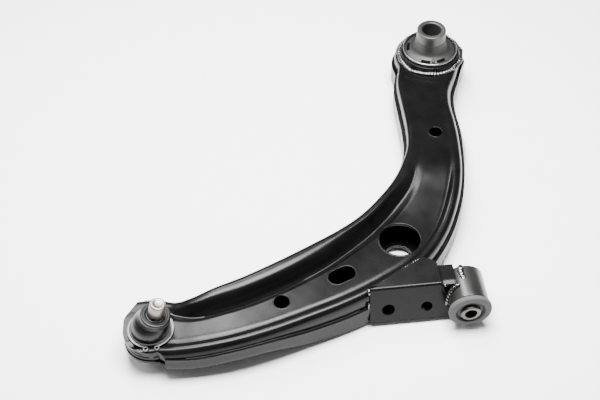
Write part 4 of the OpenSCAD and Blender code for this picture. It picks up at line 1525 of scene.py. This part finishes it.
@dataclass
class Studio:
    """Pale floor, soft boxes and the camera."""

    aim: tuple = (-0.1575, 0.137, 0.014)
    distance: float = 1.302
    elevation: float = 48.1
    heading: float = 5.91
    roll: float = -0.6
    lens: float = 71.46
    floor_z: float = -0.0265

    def floor(self) -> None:
        """A broad pale sheet, level under the arm and curving up far behind it."""
        y = np.linspace(-3.2, 4.2, 120)
        x = np.linspace(-4, 4, 60)
        z = self.floor_z + 1.4 * ease((y - 2.2) / 2.4) ** 1.5
        grid = np.stack(np.broadcast_arrays(x[None, :], y[:, None], z[:, None]), axis=-1)
        mesh = bpy.data.meshes.new("floor")
        quads = grid_faces(len(y), len(x), False, False)[:, ::-1]
        mesh.from_pydata(grid.reshape(-1, 3).tolist(), [], quads.tolist())
        finish_shading(mesh, 60)
        obj = bpy.data.objects.new("floor", mesh)
        bpy.context.scene.collection.objects.link(obj)
        paper = Finish("studio_paper", (0.90, 0.90, 0.90), 0.0, 0.75, Grain.SMOOTH, spread=0.01, bump=0.05)
        obj.data.materials.append(paper.material())

    def soft_box(self, name: str, place: tuple, target: tuple, size: tuple, power: float) -> None:
        """A rectangular area light.

        Args:
            name: light name.
            place: where it hangs.
            target: what it faces.
            size: width and height in metres.
            power: watts.
        """
        light = bpy.data.lights.new(name, "AREA")
        light.shape, light.size, light.size_y, light.energy = "RECTANGLE", size[0], size[1], power
        obj = bpy.data.objects.new(name, light)
        z = np.array(place, float) - np.array(target, float)
        z /= np.linalg.norm(z)
        x = np.cross([0.0, 1.0, 0.0], z)
        x /= np.linalg.norm(x)
        y = np.cross(z, x)
        obj.matrix_world = Matrix([[x[k], y[k], z[k], place[k]] for k in range(3)] + [[0, 0, 0, 1]])
        bpy.context.scene.collection.objects.link(obj)

    def lights(self) -> None:
        """One long box overhead, weaker ones at the left and behind, and an even surround."""
        self.soft_box("overhead_box", (-0.12, 0.16, 1.05), (-0.12, 0.16, 0.0), (0.75, 0.42), 72.0)
        self.soft_box("nose_card", (-0.40, 0.86, 1.22), (-0.27, 0.0, 0.0), (0.46, 0.36), 22.0)
        self.soft_box("left_box", (-1.2, 0.3, 0.8), (-0.2, 0.1, 0.0), (0.6, 0.7), 7.0)
        world = bpy.data.worlds.new("surround")
        bpy.context.scene.world = world
        world.use_nodes = True
        back = world.node_tree.nodes["Background"]
        back.inputs["Color"].default_value = (1.0, 1.0, 1.0, 1.0)
        back.inputs["Strength"].default_value = 0.26

    def camera(self) -> None:
        """Camera looking down at the arm from the front, a little from the left."""
        e, h, roll = np.radians([self.elevation, self.heading, self.roll])
        forward = np.array([np.sin(h) * np.cos(e), np.cos(h) * np.cos(e), -np.sin(e)])
        right = np.array([np.cos(h), -np.sin(h), 0.0])
        up = np.cross(right, forward)
        x = np.cos(roll) * right + np.sin(roll) * up
        y = np.cos(roll) * up - np.sin(roll) * right
        place = np.array(self.aim) - forward * self.distance
        data = bpy.data.cameras.new("camera")
        data.lens, data.sensor_width = self.lens, 36.0
        obj = bpy.data.objects.new("camera", data)
        obj.matrix_world = Matrix([[x[k], y[k], -forward[k], place[k]] for k in range(3)] + [[0, 0, 0, 1]])
        bpy.context.scene.collection.objects.link(obj)
        bpy.context.scene.camera = obj

    def build(self) -> None:
        """Builds the floor, the lights and the camera."""
        self.floor()
        self.lights()
        self.camera()
        LOG.info("studio built")


def main() -> None:
    """Builds the arm over its motion frame, piece by piece."""
    logging.basicConfig(level=logging.INFO, format="%(message)s")
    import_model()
    Studio().build()
    for assembly in (ArmPressings(), NoseJoint(), BushBracket(), FrontBush(), RearBush()):
        assembly.build()


if __name__ == "__main__":
    main()
